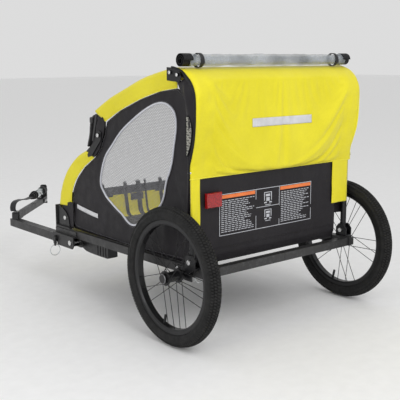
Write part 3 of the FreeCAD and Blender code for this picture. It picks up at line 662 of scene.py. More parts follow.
PANEL_EDGE = [(-66, 306), (-52, 362), (-23, 405), (24, 447), (90, 486), (128, 520), (152, 562), (167, 607),
              (242, 645), (348, 683), (446, 709), (529, 720), (560, 700), (582, 640), (590, 560), (590, 480),
              (588, 380), (586, 300), (584, 228), (440, 226.5), (300, 226.5), (150, 226.5), (20, 227),
              (-58, 231), (-63, 268)]
WINDOW_EDGE = [(308, 297), (437, 375), (471, 453), (494, 501), (507, 556), (518, 620), (503, 660),
               (452, 677), (372, 654), (259, 591), (195, 536), (149, 488), (122, 413), (144, 375),
               (177, 352), (234, 324)]
WINDOW_CENTRE = at(0, 330, 505)
PANEL_X = 0.3012


def ray_loop(pts):
    """The outline's point in each of 240 directions from the window's centre."""
    centre = WINDOW_CENTRE
    loop = []
    for k in range(240):
        a = turned(k, 240)
        dy, dz = cos(a), sin(a)
        reach = []
        for p, q in zip(pts, pts[1:] + pts[:1]):
            ey, ez = q.y - p.y, q.z - p.z
            cross = dy * ez - dz * ey
            if abs(cross) < 1e-12:
                continue
            t = ((p.y - centre.y) * ez - (p.z - centre.z) * ey) / cross
            u = ((p.y - centre.y) * dz - (p.z - centre.z) * dy) / cross
            if t > 0 and -1e-6 <= u <= 1 + 1e-6:
                reach.append(t)
        loop.append(vec(0, centre.y + dy * min(reach), centre.z + dz * min(reach)))
    return loop


def crease(p):
    """How far the side fabric stands out at a place: soft long folds that run up and forward."""
    folds = wander(p.y * 9 + p.z * 5, p.z * 2.2, 3.0) * 0.0050
    return folds + wander(p.y * 30, p.z * 15, 9.0) * 0.0016


def side_panel():
    inner = ray_loop(catmull(line_at(0, WINDOW_EDGE), 400, closed=True))
    outer = ray_loop(line_at(0, PANEL_EDGE))

    def place(r, k):
        t = r / 16
        p = inner[k].lerp(outer[k], t)
        x = PANEL_X + 0.0018 + crease(p) * sin(pi * t) ** 0.7
        return vec(max(min(x, 0.3066), 0.2998), p.y, p.z)

    def strip_place(i, k):
        p = at(303.5, -31, 316 - 5 * i).lerp(at(303.5, 102, 302 - 5 * i), k / 30)
        return p + vec(0.0014 + crease(p), 0, 0)

    rows = grid(17, 240, place)
    hem = [a.lerp(b, 0.93) + vec(PANEL_X + 0.0042, 0, 0) for a, b in zip(inner, outer)]
    border = [p + vec(PANEL_X + 0.0030, 0, 0) for p in inner]
    parts = [tube("piping", border, 0.0030, M["piping"], closed=True)]
    for share in (0.985, 1.03):
        line = [WINDOW_CENTRE + (p - WINDOW_CENTRE) * share + vec(PANEL_X + 0.0044, 0, 0) for p in inner]
        parts.append(stitches("window", line + line[:1], ALONG_X, M["thread"]))
    piping = join(parts, "left_window_piping")
    whole = join([thicken(sheet_mesh("cloth", rows, M["black"], wrap_cols=True)),
                  stitches("hem", hem, ALONG_X, M["thread"]),
                  thicken(sheet_mesh("strip", grid(4, 31, strip_place), M["silver"]), PRINT_THICKNESS)],
                 "left_side_panel")
    twin = mirror_copy(whole, "right_side_panel")
    twin_piping = mirror_copy(piping, "right_window_piping")
    for obj in (whole, twin):
        settle_folding(obj)
        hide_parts("side_panels")
        area_of(rows, True)
    for obj in (piping, twin_piping):
        settle_folding(obj)
    window_mesh(inner)


def area_of(rows, wrap=False):
    total = 0.0
    for a, b in zip(rows, rows[1:]):
        n = len(a)
        for j in range(n if wrap else n - 1):
            p, q, r, s = a[j], a[(j + 1) % n], b[(j + 1) % n], b[j]
            total += ((q - p).cross(s - p)).length / 2 + ((q - r).cross(s - r)).length / 2
    return total


def window_mesh(inner):
    def place(r, k):
        t = (r + 0.02) / 13
        q = WINDOW_CENTRE.lerp(inner[k], t)
        sag = 0.0035 * cos(t * pi / 2) + wander(q.y * 14, q.z * 10, 1.0) * 0.0015 * (1 - t)
        return vec(PANEL_X - sag, q.y, q.z)

    rows = grid(14, len(inner), place)
    net = sheet_mesh("left_window_mesh", rows, M["window"], wrap_cols=True)
    for obj in (net, mirror_copy(net, "right_window_mesh")):
        settle_folding(obj)
        area_of(rows, True)


# ---- rear cover

COVER_BACK = [(621, 478), (625, 520), (630, 560), (637, 604), (644, 645), (649, 684), (650, 706), (645, 726),
              (634, 745), (618, 760), (600, 769), (580, 774), (556, 777)]
COVER_FLAP = [(617, 478), (617, 513), (625, 541), (634, 571), (639, 598), (642, 628), (643, 662), (643, 693),
              (639, 714), (627, 737), (609, 753), (588, 768), (560, 776), (545, 778)]
COVER_HALF_X = 0.3385
COVER_CORNER = 0.017
COVER_ROWS = 74
COVER_CLOTH = {"quality": 6, "mass": 0.22, "vertex_group_mass": "pin", "pin_stiffness": 1.0,
               "tension_stiffness": 14, "compression_stiffness": 14, "shear_stiffness": 14 * 0.6,
               "bending_stiffness": 1.2, "shrink_min": -0.016}


def cover_rows():
    """The cover before it sags: across the back, round the corners and forward along each side."""
    rows = []
    for b, f in zip(*[catmull(line_at(0, line), COVER_ROWS) for line in (COVER_BACK, COVER_FLAP)]):
        middle = f + vec(COVER_HALF_X - COVER_CORNER, 0, 0)
        path = []
        for k in range(12):
            a = pi / 2 * k / 11
            path.append(middle + vec(COVER_CORNER * cos(a), 0, 0) + (b - f) * sin(a))
        half = resample(path + [b], 61)
        rows.append(half + [vec(-p.x, p.y, p.z) for p in reversed(half[:-1])])
    return rows


def far_tuck(z):
    """How far the cover's far edge is drawn in towards its lower corner, as a factor on X."""
    return 1 - 0.018 * (1 - smoothstep((z - 0.480) / 0.13))


def rear_cover():
    rows = cover_rows()
    n, cols = len(rows), len(rows[0])
    pinned = []
    for i, row in enumerate(rows):
        for j, p in enumerate(row):
            lift = wander(p.x * 5, p.z * 9, 4.0) * 0.004
            pull = wander(p.x * 16 + p.z * 10, p.z * 7, 8.0) * 0.0022
            near_edge = smoothstep((abs(p.x) - 0.17) / 0.08) * (1.0 if p.x > 0 else 0.45)
            off_post = 1 - smoothstep((abs(p.x) - 0.285) / 0.020)
            pucker = wander(p.x * 13 - p.z * 9, p.z * 25, 12.0) * 0.0095 * near_edge
            inside = min(1.0, i / 6, (n - 1 - i) / 4, j / 5, (cols - 1 - j) / 5)
            p.y += (lift + pull + pucker) * max(0.0, inside) * off_post + 0.0015 * (1 - off_post)
            if p.x < 0:
                p.x *= far_tuck(p.z)
            from_side = min(j, cols - 1 - j)
            over_bar = i > n - 20
            if i == 0 or over_bar or from_side == 0 or 4 <= from_side <= 12:
                pinned.append(i * cols + j)
    cover = sheet_mesh("cover", rows, M["yellow"], flip=True)
    simulate(cover, 26, 1.0, COVER_CLOTH, pinned)
    points = [v.co.copy() for v in cover.data.vertices]
    hem = points[:cols]
    elastic = [p + vec(0.0008, -0.001, 0) for p in points[::cols]]
    seam = [p + vec(0, 0.0018, 0.011) for p in hem[12:-12]]
    whole = join([thicken(cover, 0.0014),
                  tube("elastic", elastic, 0.0032, M["black_edge"], sides=8),
                  tube("far_binding", points[cols - 1::cols], 0.0024, M["yellow_edge"], sides=8),
                  tube("hem_binding", hem, 0.0021, M["yellow_edge"], sides=8),
                  stitches("hem_stitch", seam, (0, 1, 0), M["yellow_thread"])], "yellow_rear_cover")
    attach(whole, "rear_hoop")
    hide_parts("rear_cover")
    area_of(rows)


def reflective_bar():
    """A plain silver strip sewn across the cover's back."""
    cover = bpy.data.objects["yellow_rear_cover"]

    def place(i, k):
        x, z = 0.122 - 0.246 * k / 48, 0.6085 + 0.0245 * i / 6
        hit, spot, _, _ = cover.ray_cast(vec(x, 1.2, z), vec(0, -1, 0))
        return spot + vec(0, 0.0011, 0) if hit else at(x * 1000, 640, z * 1000)

    bar = thicken(sheet_mesh("cover_bar", grid(7, 49, place), M["silver"]), PRINT_THICKNESS)
    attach(bar, "rear_hoop")


# ---- rear gussets and post sleeves

GUSSET_BACK = [(606, 300), (612, 400), (618, 480), (618, 513), (627, 541), (636, 571), (640, 598),
               (643, 628), (644, 662), (644, 693), (640, 714), (628, 737), (610, 752)]
GUSSET_FRONT = [(588, 300), (588, 467), (588, 522), (584, 578), (575, 633), (562, 680), (545, 706),
                (532, 730)]


def gusset():
    """Black cloth from the side panel out round the hoop post, with a net pocket sewn on."""
    front, back = [catmull(line_at(0, line), 80) for line in (GUSSET_FRONT, GUSSET_BACK)]

    def place(i, k):
        t = k / 22
        p = front[i].lerp(back[i], t)
        fold = wander(p.y * 30 - p.z * 7, p.z * 4.5, 2.0) * 0.0085
        fold += wander(p.y * 60, p.z * 15, 6.0) * 0.0030
        bulge = 0.3030 + 0.0290 * sin(pi / 2 * min(1.0, t * 1.9))
        tucked = 0.0032 * smoothstep((t - 0.62) / 0.3)
        return vec(bulge - tucked + fold * sin(pi * t), p.y - 1.8 * tucked, p.z)

    def pocket_place(i, k):
        taper = sin(pi * (i + 1) / 21) ** 0.5
        return rows[i + 42][8].lerp(rows[i + 42][18], k / 10 * taper) + vec(0.0055, -0.0012, 0)

    rows = grid(80, 23, place)
    whole = thicken(sheet_mesh("left_gusset", rows, M["black"], flip=True))
    pocket_rows = grid(20, 11, pocket_place)
    pocket = sheet_mesh("left_net_pocket", pocket_rows, M["pocket"], flip=True)
    rim = [r[0] for r in pocket_rows] + [r[-1] for r in reversed(pocket_rows)]
    pocket_rim = tube("left_pocket_rim", rim, 0.0017, M["black_edge"], closed=True, sides=6)
    for obj, name in ((whole, "gusset"), (pocket, "net_pocket"), (pocket_rim, "pocket_rim")):
        twin = mirror_copy(obj, "right_" + name)
        for vertex in twin.data.vertices:
            vertex.co.x *= far_tuck(vertex.co.z)
        for piece in (obj, twin):
            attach(piece, "rear_hoop")
            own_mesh(piece)
            if name == "gusset":
                area_of(rows)


def post_sleeve(sign, name, inner_x, outer_x):
    """A yellow strip that hangs from the cover's hem round the post."""
    def place(i, k):
        t, s = i / 33, (k - 2) / 12
        z = 482 - 140 * t
        if k < 2:
            return at(sign * (outer_x + 1.0), (616, 619)[k], z)
        x = outer_x + (inner_x - outer_x) * s
        ripple = 1.6 * sin(s * 9 + t * 7) * (0.3 + t) + 1.2 * wander(s * 4, t * 5, sign)
        return at(sign * x, 622.5 + 0.4 * ripple, z)

    sleeve = thicken(sheet_mesh(name, grid(34, 15, place), M["yellow"], flip=sign > 0))
    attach(sleeve, "rear_hoop")


def dome(name, radius, height, place, direction, body):
    """A bright round bolt head or snap on a body, facing the direction."""
    bm = bmesh.new()
    profile = [(0.45, 0.93), (0.8, 0.66), (0.97, 0.3), (1.0, 0.0), (0.9, -0.2)]
    sides = 24
    verts = []
    for r, h in profile:
        angles = [turned(k, sides) for k in range(sides)]
        verts.append([bm.verts.new((r * radius * cos(a), r * radius * sin(a), h * height)) for a in angles])
    top = bm.verts.new((0, 0, height))
    for k in range(sides):
        bm.faces.new((top, verts[0][k], verts[0][(k + 1) % sides]))
        for a, b in zip(verts, verts[1:]):
            bm.faces.new((a[k], b[k], b[(k + 1) % sides], a[(k + 1) % sides]))
    bm.faces.new(list(reversed(verts[-1])))
    head = object_of(name, bm, M["bolt"])
    turn = Vector(direction).to_track_quat("Z", "Y").to_matrix().to_4x4()
    head.matrix_world = Matrix.Translation(place) @ turn
    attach(head, body)


def studs():
    """Cover snaps on the posts, and bolt heads on the top joints."""
    for side, sign in SIDES:
        dome(side + "_cover_snap", 0.0058, 0.0030, at(sign * 336.5, 616.5, 494), (sign, 0.5, 0),
             "rear_hoop")
        for place, (y, z) in (("front", (537, 764)), ("rear", (569, 758))):
            dome(side + "_top_bolt_" + place, 0.0052, 0.0028, at(sign * 341.3, y, z), (sign, 0, 0),
                 "rear_hoop")


# ---- rear panel and label

PANEL_BACK_Y = 620.2
PANEL_NEAR_X = 318
PANEL_FAR_X = -262
PANEL_HEM_Z = 478


def rear_surface(x, z):
    """The rear panel's face, sagging in soft billows between the posts."""
    share = (x - PANEL_FAR_X) / (PANEL_NEAR_X - PANEL_FAR_X)
    sag = 2.0 * sin(pi * share) * sin(pi * (PANEL_HEM_Z - z) / 241)
    ripple = 2.2 * wander(x * 0.006, z * 0.016, 5.0) * min(1.0, (PANEL_HEM_Z - z) / 40)
    return PANEL_BACK_Y - 1.2 + 0.4 * sag + ripple * 0.5


def rear_panel():
    def place(i, k):
        z = 484 - 255 * i / 49
        x = PANEL_FAR_X + (PANEL_NEAR_X - PANEL_FAR_X) * k / 95
        return at(x, rear_surface(x, z) - 7 * smoothstep((256 - z) / 26), z)

    rows = grid(50, 96, place)
    parts = [thicken(sheet_mesh("rear_cloth", rows, M["black"]), offset=-1.0)]
    for z in (272, 268):
        pts = [at(x, rear_surface(x, z) + 0.4, z) for x in range(PANEL_FAR_X + 8, PANEL_NEAR_X - 8, 10)]
        parts.append(stitches("rear_stitch", pts, (0, 1, 0), M["black_edge"]))
    whole = join(parts, "black_rear_panel")
    hug_posts(whole)
    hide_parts("rear_panel")
    area_of(rows)


def hug_posts(obj):
    """Attaches a rear panel piece to the rear hoop, with its own copy of the mesh."""
    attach(obj, "rear_hoop")
    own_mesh(obj)


def flat_print(name, boxes, material):
    """Thin printed shapes lying on the rear panel; each box is left, right, bottom, top."""
    verts, faces = [], []
    for x0, x1, z0, z1 in boxes:
        steps = max(1, int(abs(x1 - x0) / 14))
        base = len(verts)
        for k in range(steps + 1):
            x = x0 + (x1 - x0) * k / steps
            for z in (z0, z1):
                y = rear_surface(x, z) + 0.35
                verts += [at(x, y, z), at(x, y + 0.25, z)]
        for a in range(base, base + 4 * steps, 4):
            ring = (a, a + 1, a + 3, a + 2, a)
            for first, second in zip(ring, ring[1:]):
                faces.append((first, first + 4, second + 4, second))
        end = base + 4 * steps
        faces += [(base + 2, base + 3, base + 1, base), (end, end + 1, end + 3, end + 2)]
    return face_outward(new_object(name, verts, faces, material, smooth=False))


LABEL = (232, -149, 322, 424)
LABEL_COLUMNS = (89, -8)


def care_label():
    """A printed panel of plain bars and dashes: it carries no words."""
    left, right, low, high = LABEL
    first, second = LABEL_COLUMNS
    outline = [(left, right, low - 18, low - 16.2), (left, right, high - 1.8, high),
               (left, left - 1.8, low - 18, high), (right + 1.8, right, low - 18, high)]
    outline += [(x + 0.9, x - 0.9, low - 18, high) for x in LABEL_COLUMNS]
    outline.append((first, second, 368, 369.6))
    heads = [(left - 3, first + 4, high - 13, high - 3), (second - 4, right + 3, high - 13, high - 3)]
    dashes = []
    for start, end, shift in ((left - 7, first + 7, 0.0), (second - 7, right + 7, 3.0)):
        z, row = high - 19, 0
        while z > low - 10:
            x, dash = start, 0
            stop = end + (start - end) * min(0.5, abs(wander(row * 1.7, shift, 0.3)) * 0.7)
            while x > stop:
                size = 9 + 9 * abs(wander(row * 2.3, dash * 1.9, shift + 7))
                dashes.append((x, max(x - size, stop), z - 2.0, z))
                x -= size + 3.0
                dash += 1
            z -= 5.6
            row += 1
    grey = [flat_print("print", boxes, M["label_grey"]) for boxes in
            (outline, dashes, pictogram(40, 392, 1.0) + pictogram(40, 342, 0.9))]
    label = join(grey + [flat_print("heads", heads, M["label_orange"])], "printed_label")
    hug_posts(label)


def pictogram(x, z, scale):
    """A simple seat shape over a pair of round feet, made of short bars."""
    bars = [(-16, 16, 17, 19), (-16, -13, -6, 17), (13, 16, -6, 17), (-9, 9, 6, 13), (-7, 7, -8, 3),
            (-16, -5, -14, -10), (5, 16, -14, -10), (-12, 12, -20, -18)]
    return [(x - a * scale, x - b * scale, z + c * scale, z + d * scale) for a, b, c, d in bars]


# ---- rolled clear cover

ROLL_Y, ROLL_Z = 584, 796


def clear_roll():
    """Crumpled clear vinyl wound round and round, with its bound edges showing as a spiral at each end."""
    def film_place(i, k):
        x, a = 320 - 640 * i / 149, turned(k, 40)
        swell = 1.0 + 0.12 * wander(x * 0.008, 1.0, 0.0)
        tied = exp(-((abs(x) - 277) / 14) ** 2)
        crumple = wander(x * 0.020, cos(a) * 1.3, sin(a) * 1.3) * 2.6
        crumple += wander(x * 0.055, cos(a) * 3.2, sin(a) * 3.2) * 1.1
        r = (18.0 * swell + crumple) * (1 - 0.12 * tied)
        flat = 0.86 if sin(a) < 0 else 1.0
        return at(x, ROLL_Y + r * cos(a), ROLL_Z - 1 + r * sin(a) * flat)

    def core_place(i, k):
        x, a = 322 - 644 * i * 3 / 149, turned(k, 20)
        r = 11.5 + 2.2 * wander(x * 0.03, cos(a) * 2, sin(a) * 2)
        return at(x, ROLL_Y + r * cos(a), ROLL_Z - 1 + r * sin(a))

    film = sheet_mesh("film", grid(150, 40, film_place), M["vinyl"], wrap_cols=True)
    core = sheet_mesh("core", grid(50, 20, core_place), M["vinyl"], wrap_cols=True)
    roll = join([film, core], "clear_cover_roll")
    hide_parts("rolled_front_cover")
    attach(roll, "rear_hoop")
    for side, sign in SIDES:
        ends = []
        for layer in range(5):
            turns = []
            for k in range(64):
                a, r = turned(k, 26), 19.6 - 0.0725 * k * 3.1
                turns.append(at(sign * (338.2 - layer * 6.4), ROLL_Y + r * cos(a), ROLL_Z + r * sin(a)))
            ends.append(ribbon("turn", turns, 0.0066, 0.0021, ALONG_X, M["black_edge"]))
        spiral = join(ends, side + "_roll_binding")
        loop = []
        for k in range(41):
            a = turned(k, 40)
            loop.append(at(sign * 277, ROLL_Y + 19.5 * cos(a), ROLL_Z + 19.2 * sin(a)))
        strap = ribbon("strap", loop, 0.012, STRAP_THICKNESS, ALONG_X, M["webbing"])
        clip = rounded_block("clip", at(sign * 277 - 6, 601.5, 786), at(sign * 277 + 6, 606, 798), 0.0015,
                             M["plastic"])
        for obj in (spiral, join([strap, clip], side + "_roll_strap")):
            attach(obj, "rear_hoop")


# ---- tyres

TREAD = [(0, 1), (6.5, 1), (8, 0), (12, 0), (13.5, 1), (31, 1), (32.5, 0), (37, 0), (38.5, 1), (57, 1),
         (60, 0.2)]
WALL = [(72, 0.0), (84, 0.0), (88, 0.5), (92, 0.0), (106, 0.0), (118, 0.1), (124, 0.6), (130, 0.2),
        (142, 0.0), (160, 0.0)]
PITCHES = 140
KNOB = 0.0024
BEAD_R = 0.1622
KNOB_STEPS = ((0.0, 0), (0.05, 0), (0.24, 0), (0.29, 1), (0.62, 1), (0.95, 1))


def tyre(side):
    """A tyre with rows of small slanting knobs, a moulded rib on each wall and a bead at the rim."""
    centre = WHEEL_CENTRE[side]
    low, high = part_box(side + "_tyre")
    section = (high.x - low.x) / 2
    big = centre.z - section
    mid_x = (low.x + high.x) / 2
    half = TREAD[1:] + WALL
    ring = [(-b, h) for b, h in reversed(half)] + [TREAD[0]] + half

    def place(i, k):
        part, knob = KNOB_STEPS[i % 6]
        b, h = ring[k]
        slant = 0.55 * min(1.0, abs(b) / 60) + (0.5 if 13 < abs(b) < 32 else 0.0)
        a = turned(i // 6 + part + slant, PITCHES)
        grooved = 1.0 if abs(b) > 60 else (knob if h > 0.5 else 0.0)
        r = section - (KNOB * (1 - grooved) if abs(b) <= 60 else KNOB * 0.75 - KNOB * 0.6 * h)
        reach = max(big + r * cos(radians(b)), BEAD_R)
        across = r * sin(radians(b))
        if reach <= BEAD_R:
            across = copysign(min(abs(across), 0.012), across)
        return vec(mid_x + across, centre.y + reach * cos(a), centre.z + reach * sin(a))

    body = sheet_mesh(side + "_treaded_tyre", grid(PITCHES * 6, len(ring), place), M["tyre"], wrap_rows=True,
                      wrap_cols=True, flip=True)
    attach(body, side + "_wheel")
    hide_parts(side + "_tyre")


def hub_ring(side, sign):
    centre = WHEEL_CENTRE[side]
    ring = []
    for k in range(48):
        a = turned(k, 48)
        ring.append(vec(sign * 0.3988, centre.y + 0.0125 * cos(a), centre.z + 0.0125 * sin(a)))
    washer = tube(side + "_hub_ring", ring, 0.0018, M["dark_steel"], closed=True)
    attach(washer, side + "_wheel")


# ---- seat and cabin

PAD_SHRINK = vec(0.004, 0.004, 0.004)
PAD_CLOTH = {"quality": 5, "use_pressure": True, "uniform_pressure_force": 4.0}
PAD_MOST_SWELL = 0.007
CHANNEL_DEPTH, CHANNEL_HALF_WIDTH = 0.0055, 0.006


def pad(name, low, high, corner, crown, channels):
    """A filled cushion: a soft crowned block, swollen by a short cloth simulation."""
    obj = rounded_block(name, low + PAD_SHRINK, high - PAD_SHRINK, corner, M["black"])
    remesh = obj.modifiers.new("grid", "REMESH")
    remesh.mode, remesh.voxel_size = "VOXEL", 0.0075
    bake_modifiers(obj)
    obj.data.materials.clear()
    obj.data.materials.append(M["black"])
    before = [v.co.copy() for v in obj.data.vertices]
    simulate(obj, 16, 0.0, PAD_CLOTH)
    mid, half = (low + high) / 2, (high - low) / 2
    thin = min(range(3), key=lambda k: half[k])
    for v, start in zip(obj.data.vertices, before):
        move = v.co - start
        v.co = start + move * min(1.0, PAD_MOST_SWELL / max(move.length, 1e-9))
        u = v.co - mid
        if u[thin] > 0 or thin == 1:
            spread = 1.0
            for k in range(3):
                if k != thin:
                    spread *= max(0.0, 1 - (u[k] / half[k]) ** 4)
            v.co[thin] += copysign(crown * spread, u[thin])
            for axis, place in channels:
                d = abs(v.co[axis] - place)
                v.co[thin] -= copysign(CHANNEL_DEPTH * exp(-(d / CHANNEL_HALF_WIDTH) ** 2), u[thin])
        for k in range(3):
            v.co[k] = min(max(v.co[k], low[k]), high[k])
    obj.data.polygons.foreach_set("use_smooth", [True] * len(obj.data.polygons))
    smooth = obj.modifiers.new("smooth", "SUBSURF")
    smooth.levels = smooth.render_levels = 1
    return bake_modifiers(obj)


def seat():
    cushion = pad("cushion", at(-276, 285, 230.8), at(276, 520, 269.5), 0.012, 0.001, ((0, 0.0),))
    seam = [vec(-0.262 + 0.524 * k / 60, at(0, 285, 0).y + 0.0022, 0.258) for k in range(61)]
    cushion = join([cushion, tube("piping", seam, 0.0020, M["black_edge"], sides=6)], "seat_pad")
    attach(cushion, "chassis")
    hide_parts("seat_cushion")
    back = pad("seat_back_pad", at(-276, 512.5, 274.5), at(276, 539, 658), 0.010, 0.0005,
               ((0, 0.0), (2, 0.40), (2, 0.53)))
    foot = Matrix.Translation(at(0, 526, RAIL_TOP * 1000 + 48))
    back.data.transform(foot @ Matrix.Rotation(radians(-4), 4, "X") @ foot.inverted())
    settle_folding(back)
    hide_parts("seat_back")


def harness():
    """Two five-point harnesses: shoulder straps with pads, lap straps, a crotch strap and a buckle each."""
    def strap(points, count, across=ALONG_X):
        path = catmull([at(*p) for p in points], count)
        return path, ribbon("strap", path, 0.024, STRAP_THICKNESS, across, M["webbing"])

    shoulder, lap = [], []
    for centre in (138, -138):
        for offset in (-55, 55):
            x = centre + offset
            low_x = centre + offset * 0.35
            path, over_shoulder = strap([(x, 514, 598), (x, 507.5, 560), (x * 0.4 + low_x * 0.6, 503.5, 470),
                                         (low_x, 500, 380), (low_x, 492, 310),
                                         (centre + offset * 0.2, 466, 281.5)], 60)
            padding = [p + vec(0, -0.0035, 0) for p in path[4:24]]
            slide = path[30]
            shoulder += [over_shoulder, ribbon("pad", padding, 0.040, 0.0075, ALONG_X, M["black"]),
                         rounded_block("slide", slide - vec(0.016, 0.0035, 0.009),
                                       slide + vec(0.016, 0.0025, 0.009), 0.0015, M["plastic"])]
            lap.append(strap([(centre + offset * 1.95, 500, 280), (centre + offset * 1.5, 470, 275.5),
                              (centre + offset * 0.9, 455, 274.5), (centre + offset * 0.4, 452, 278)],
                             30, (0, 1, 0))[1])
        lap += [strap([(centre, 396, 273.5), (centre, 412, 273.8), (centre, 432, 277)], 12)[1],
                rounded_block("buckle", at(centre - 23, 429, 273.5), at(centre + 23, 474, 285), 0.004,
                              M["plastic"], 4),
                rounded_block("button", at(centre - 10, 441, 283), at(centre + 10, 461, 287), 0.0018,
                              M["label_orange"])]
    shoulders = join(shoulder, "shoulder_straps")
    settle_folding(shoulders)
    laps = join(lap, "lap_straps")
    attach(laps, "chassis")
    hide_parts("harnesses")


FLOOR_LINE = [(300, 231.5), (120, 230.6), (-60, 230.6), (-94, 231.5), (-103, 238), (-106.5, 250),
              (-110, 290), (-109, 343)]
FRONT_STRAPS = ((52, 0.015), (-6, 0.020), (-38, 0.009), (-109, 0.016), (150, 0.015), (-190, 0.015))


def cabin_floor():
    """Grey floor cloth that turns up into a yellow front panel with a grey band and strap loops."""
    line = resample(line_at(0, FLOOR_LINE), 84)

    def place(i, k):
        x, p = -0.2845 + 0.569 * k / 57, line[i]
        return vec(x, p.y, p.z + PRINT_THICKNESS + 0.0009 * wander(x * 14, p.y * 14, p.z * 30))

    rows = grid(84, 58, place)
    # The yellow front panel uses the brighter, faintly glowing painted-light yellow.
    floor = thicken(sheet_mesh("floor_cloth", rows, M["painted_light_yellow_inner"]))
    floor.data.materials.append(M["grey_fabric"])
    for poly in floor.data.polygons:
        if poly.center.y > at(0, -85, 0).y or poly.center.z > 0.310:
            poly.material_index = 1
    straps = []
    for x, width in FRONT_STRAPS:
        path = catmull([at(x, -112, 356), at(x + 1, -106, 350), at(x, -105.2, 320), at(x - 3, -102.5, 280),
                        at(x - 5, -98, 246), at(x - 5, -80, 233.5), at(x - 3, -30, 232.8)], 40)
        straps += [ribbon("strap", path, width, STRAP_THICKNESS, ALONG_X, M["webbing"]),
                   rounded_block("tip", at(x - 4, -112, 353), at(x + 4, -107, 361), 0.0015, M["silver"], 2)]
    patch = rounded_block("patch", at(-30, -108.4, 286), at(28, -107.2, 312), 0.0005, M["grey_fabric"], 1)
    whole = join([floor, patch], "floor_cloth_panel")
    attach(whole, "chassis")
    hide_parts("floor_panel")
    area_of(rows)
    strips = join(straps, "front_straps")
    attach(strips, "chassis")


# ---- hitch strap, cuffs, foot cloths and levers

STRAP_CORNER_Y = -0.432
STRAP_LINE = [(184, 251.5), (150, 252), (100, 257), (60, 264), (20, 268), (-8, 268.5), (-30, 263),
              (-40, 250), (-35, 238), (-26, 236)]


def safety_strap():
    """Webbing doubled back on itself from the boot round the outer corner of the arm."""
    corner = Vector(JOINTS["tow_arm_fold"]["pos_m"]) + vec(0, STRAP_CORNER_Y, 0)
    inward = vec(-1, -1, 0).normalized()
    across = vec(1, -1, 0).normalized()
    points = []
    for spot in catmull([vec(reach, z, 0) for reach, z in STRAP_LINE], 70):
        points.append(vec(corner.x, corner.y, spot.y / 1000) + inward * spot.x / 1000)
    parts = [ribbon("strap", points, 0.0215, 0.0030, across, M["webbing"])]
    for offset in (-0.0085, 0.0085):
        line = [p + across * offset + vec(0, 0, 0.0016) for p in points[3:48]]
        parts.append(stitches("strap_thread", line, (0, 0, 1), M["thread"], 0.0003))
    whole = join(parts, "webbing_safety_strap")
    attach(whole, "tow_arm")
    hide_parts("safety_strap")


CUFF = [(54, 506), (93, 487), (128, 518), (150, 560), (163, 600), (150, 622), (126, 620), (112, 590),
        (104, 556), (80, 528)]
FOOT_CLOTH = [(-116, 229), (-50, 229), (-48, 318), (-66, 320), (-118, 306)]


def black_cloth_patch(name, outline, x, body, folds):
    """A small flat piece of black cloth on each side, drawn by its outline round its middle."""
    ring = line_at(x, outline)
    centre = sum(ring, Vector()) / len(ring)
    loop = resample(ring + ring[:1], 96, closed=True)

    def place(i, k):
        t = 0.02 + 0.98 * i / 14
        q = centre.lerp(loop[k], t)
        return q + vec(folds * wander(q.y * 24, q.z * 12, x) * (1 - t * t), 0, 0)

    patch = thicken(sheet_mesh("left_" + name, grid(15, 96, place), M["black"], wrap_cols=True), 0.001)
    for piece in (patch, mirror_copy(patch, "right_" + name)):
        if body == "chassis":
            settle_folding(piece)
        else:
            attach(piece, body)


THUMB_X = 298
THUMB_LINE = [(95, 622), (86, 617), (76, 604), (71, 585), (67, 560), (58, 536), (52, 520)]


def elbow_trim():
    """The bright bolt on each elbow and the grey thumb lever that stands in front of the latch."""
    for side, sign in SIDES:
        dome(side + "_elbow_bolt", 0.0068, 0.0034, at(sign * 316.6, 129, 562), (sign, 0, 0),
             "lower_bows")
        x = sign * THUMB_X
        lever = ribbon("lever", catmull(line_at(x, THUMB_LINE), 30), 0.016, 0.0060, ALONG_X, M["latch"])
        grip = rounded_block("grip", at(x - 10, 68, 596), at(x + 10, 84, 617), 0.005, M["latch"], 4)
        whole = join([lever, grip], side + "_thumb_lever")
        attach(whole, side + "_latch")


# ---- the pieces, in order

paint_cad_nodes()
band("lower_bow_band", LOWER_OUTER, LOWER_INNER, "lower_bows", "lower_bow_bands")
band("upper_bow_band", UPPER_OUTER, UPPER_INNER, "upper_bows", "upper_bow_bands")
side_panel()
rear_cover()
black_cloth_patch("elbow_cuff", CUFF, 308.6, "lower_bows", 0.0)
black_cloth_patch("foot_cloth", FOOT_CLOTH, 308.5, "chassis", 0.002)
elbow_trim()
for wheel_side, wheel_sign in SIDES:
    hub_ring(wheel_side, wheel_sign)
two_tone_bracket()
gusset()
post_sleeve(1, "left_post_sleeve", 306, 333)
post_sleeve(-1, "right_post_sleeve", 245, 319)
studs()
rear_panel()
care_label()
reflective_bar()
clear_roll()
for wheel_side, _ in SIDES:
    tyre(wheel_side)
seat()
harness()
cabin_floor()
safety_strap()


# ---- camera, floor and light

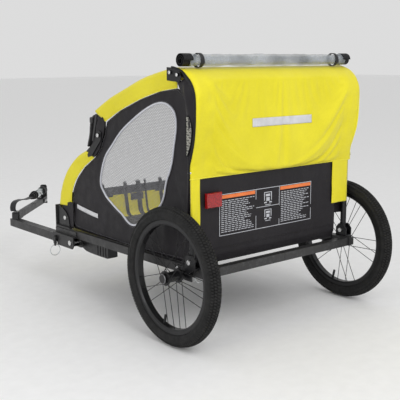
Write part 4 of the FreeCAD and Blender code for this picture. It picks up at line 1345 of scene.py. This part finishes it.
def linked(name, data):
    obj = bpy.data.objects.new(name, data)
    bpy.context.scene.collection.objects.link(obj)
    return obj


def look(position, direction, roll_degrees, lens):
    camera = linked("camera", bpy.data.cameras.new("camera"))
    camera.data.lens = lens
    camera.data.sensor_width = 36.0
    camera.data.clip_end = 60.0
    turn = Vector(direction).to_track_quat("-Z", "Y").to_matrix().to_4x4()
    roll = Matrix.Rotation(radians(roll_degrees), 4, "Z")
    camera.matrix_world = Matrix.Translation(position) @ turn @ roll
    bpy.context.scene.camera = camera


def area_light(name, position, target, size, power):
    light = linked(name, bpy.data.lights.new(name, "AREA"))
    light.data.size = size
    light.data.energy = power
    light.location = position
    light.rotation_euler = (Vector(target) - Vector(position)).to_track_quat("-Z", "Y").to_euler()


def studio():
    pale = plastic("pale_floor", (0.86, 0.86, 0.86), (0.90, 0.90, 0.90), 0.7, 60.0)
    corners = [(-30, -30, 0), (30, -30, 0), (30, 30, 0), (-30, 30, 0)]
    ground = new_object("studio_floor", corners, [(0, 1, 2, 3)], pale, smooth=False)
    world = bpy.data.worlds.new("studio")
    bpy.context.scene.world = world
    world.use_nodes = True
    world.node_tree.nodes["Background"].inputs["Color"].default_value = (1, 1, 1, 1)
    world.node_tree.nodes["Background"].inputs["Strength"].default_value = 0.72
    area_light("key", (0.6, 3.8, 3.2), (0, 0.3, 0.4), 2.2, 62)
    area_light("fill", (3.4, 1.5, 1.7), (0, -0.5, 0.4), 2.0, 26)
    bpy.context.scene.view_settings.view_transform = "Standard"


CAMERA_FROM_AXLE = (1.6586, 1.6648, 0.7983)
VIEW_YAW, VIEW_PITCH, VIEW_ROLL = radians(220.0), radians(-10.23), -0.28
LENS_MM = 70.1
VIEW_LINE = (sin(VIEW_YAW) * cos(VIEW_PITCH), cos(VIEW_YAW) * cos(VIEW_PITCH), sin(VIEW_PITCH))
look(Vector(CAMERA_FROM_AXLE) + vec(0, WHEEL_CENTRE["left"].y, 0), VIEW_LINE, VIEW_ROLL, LENS_MM)
studio()
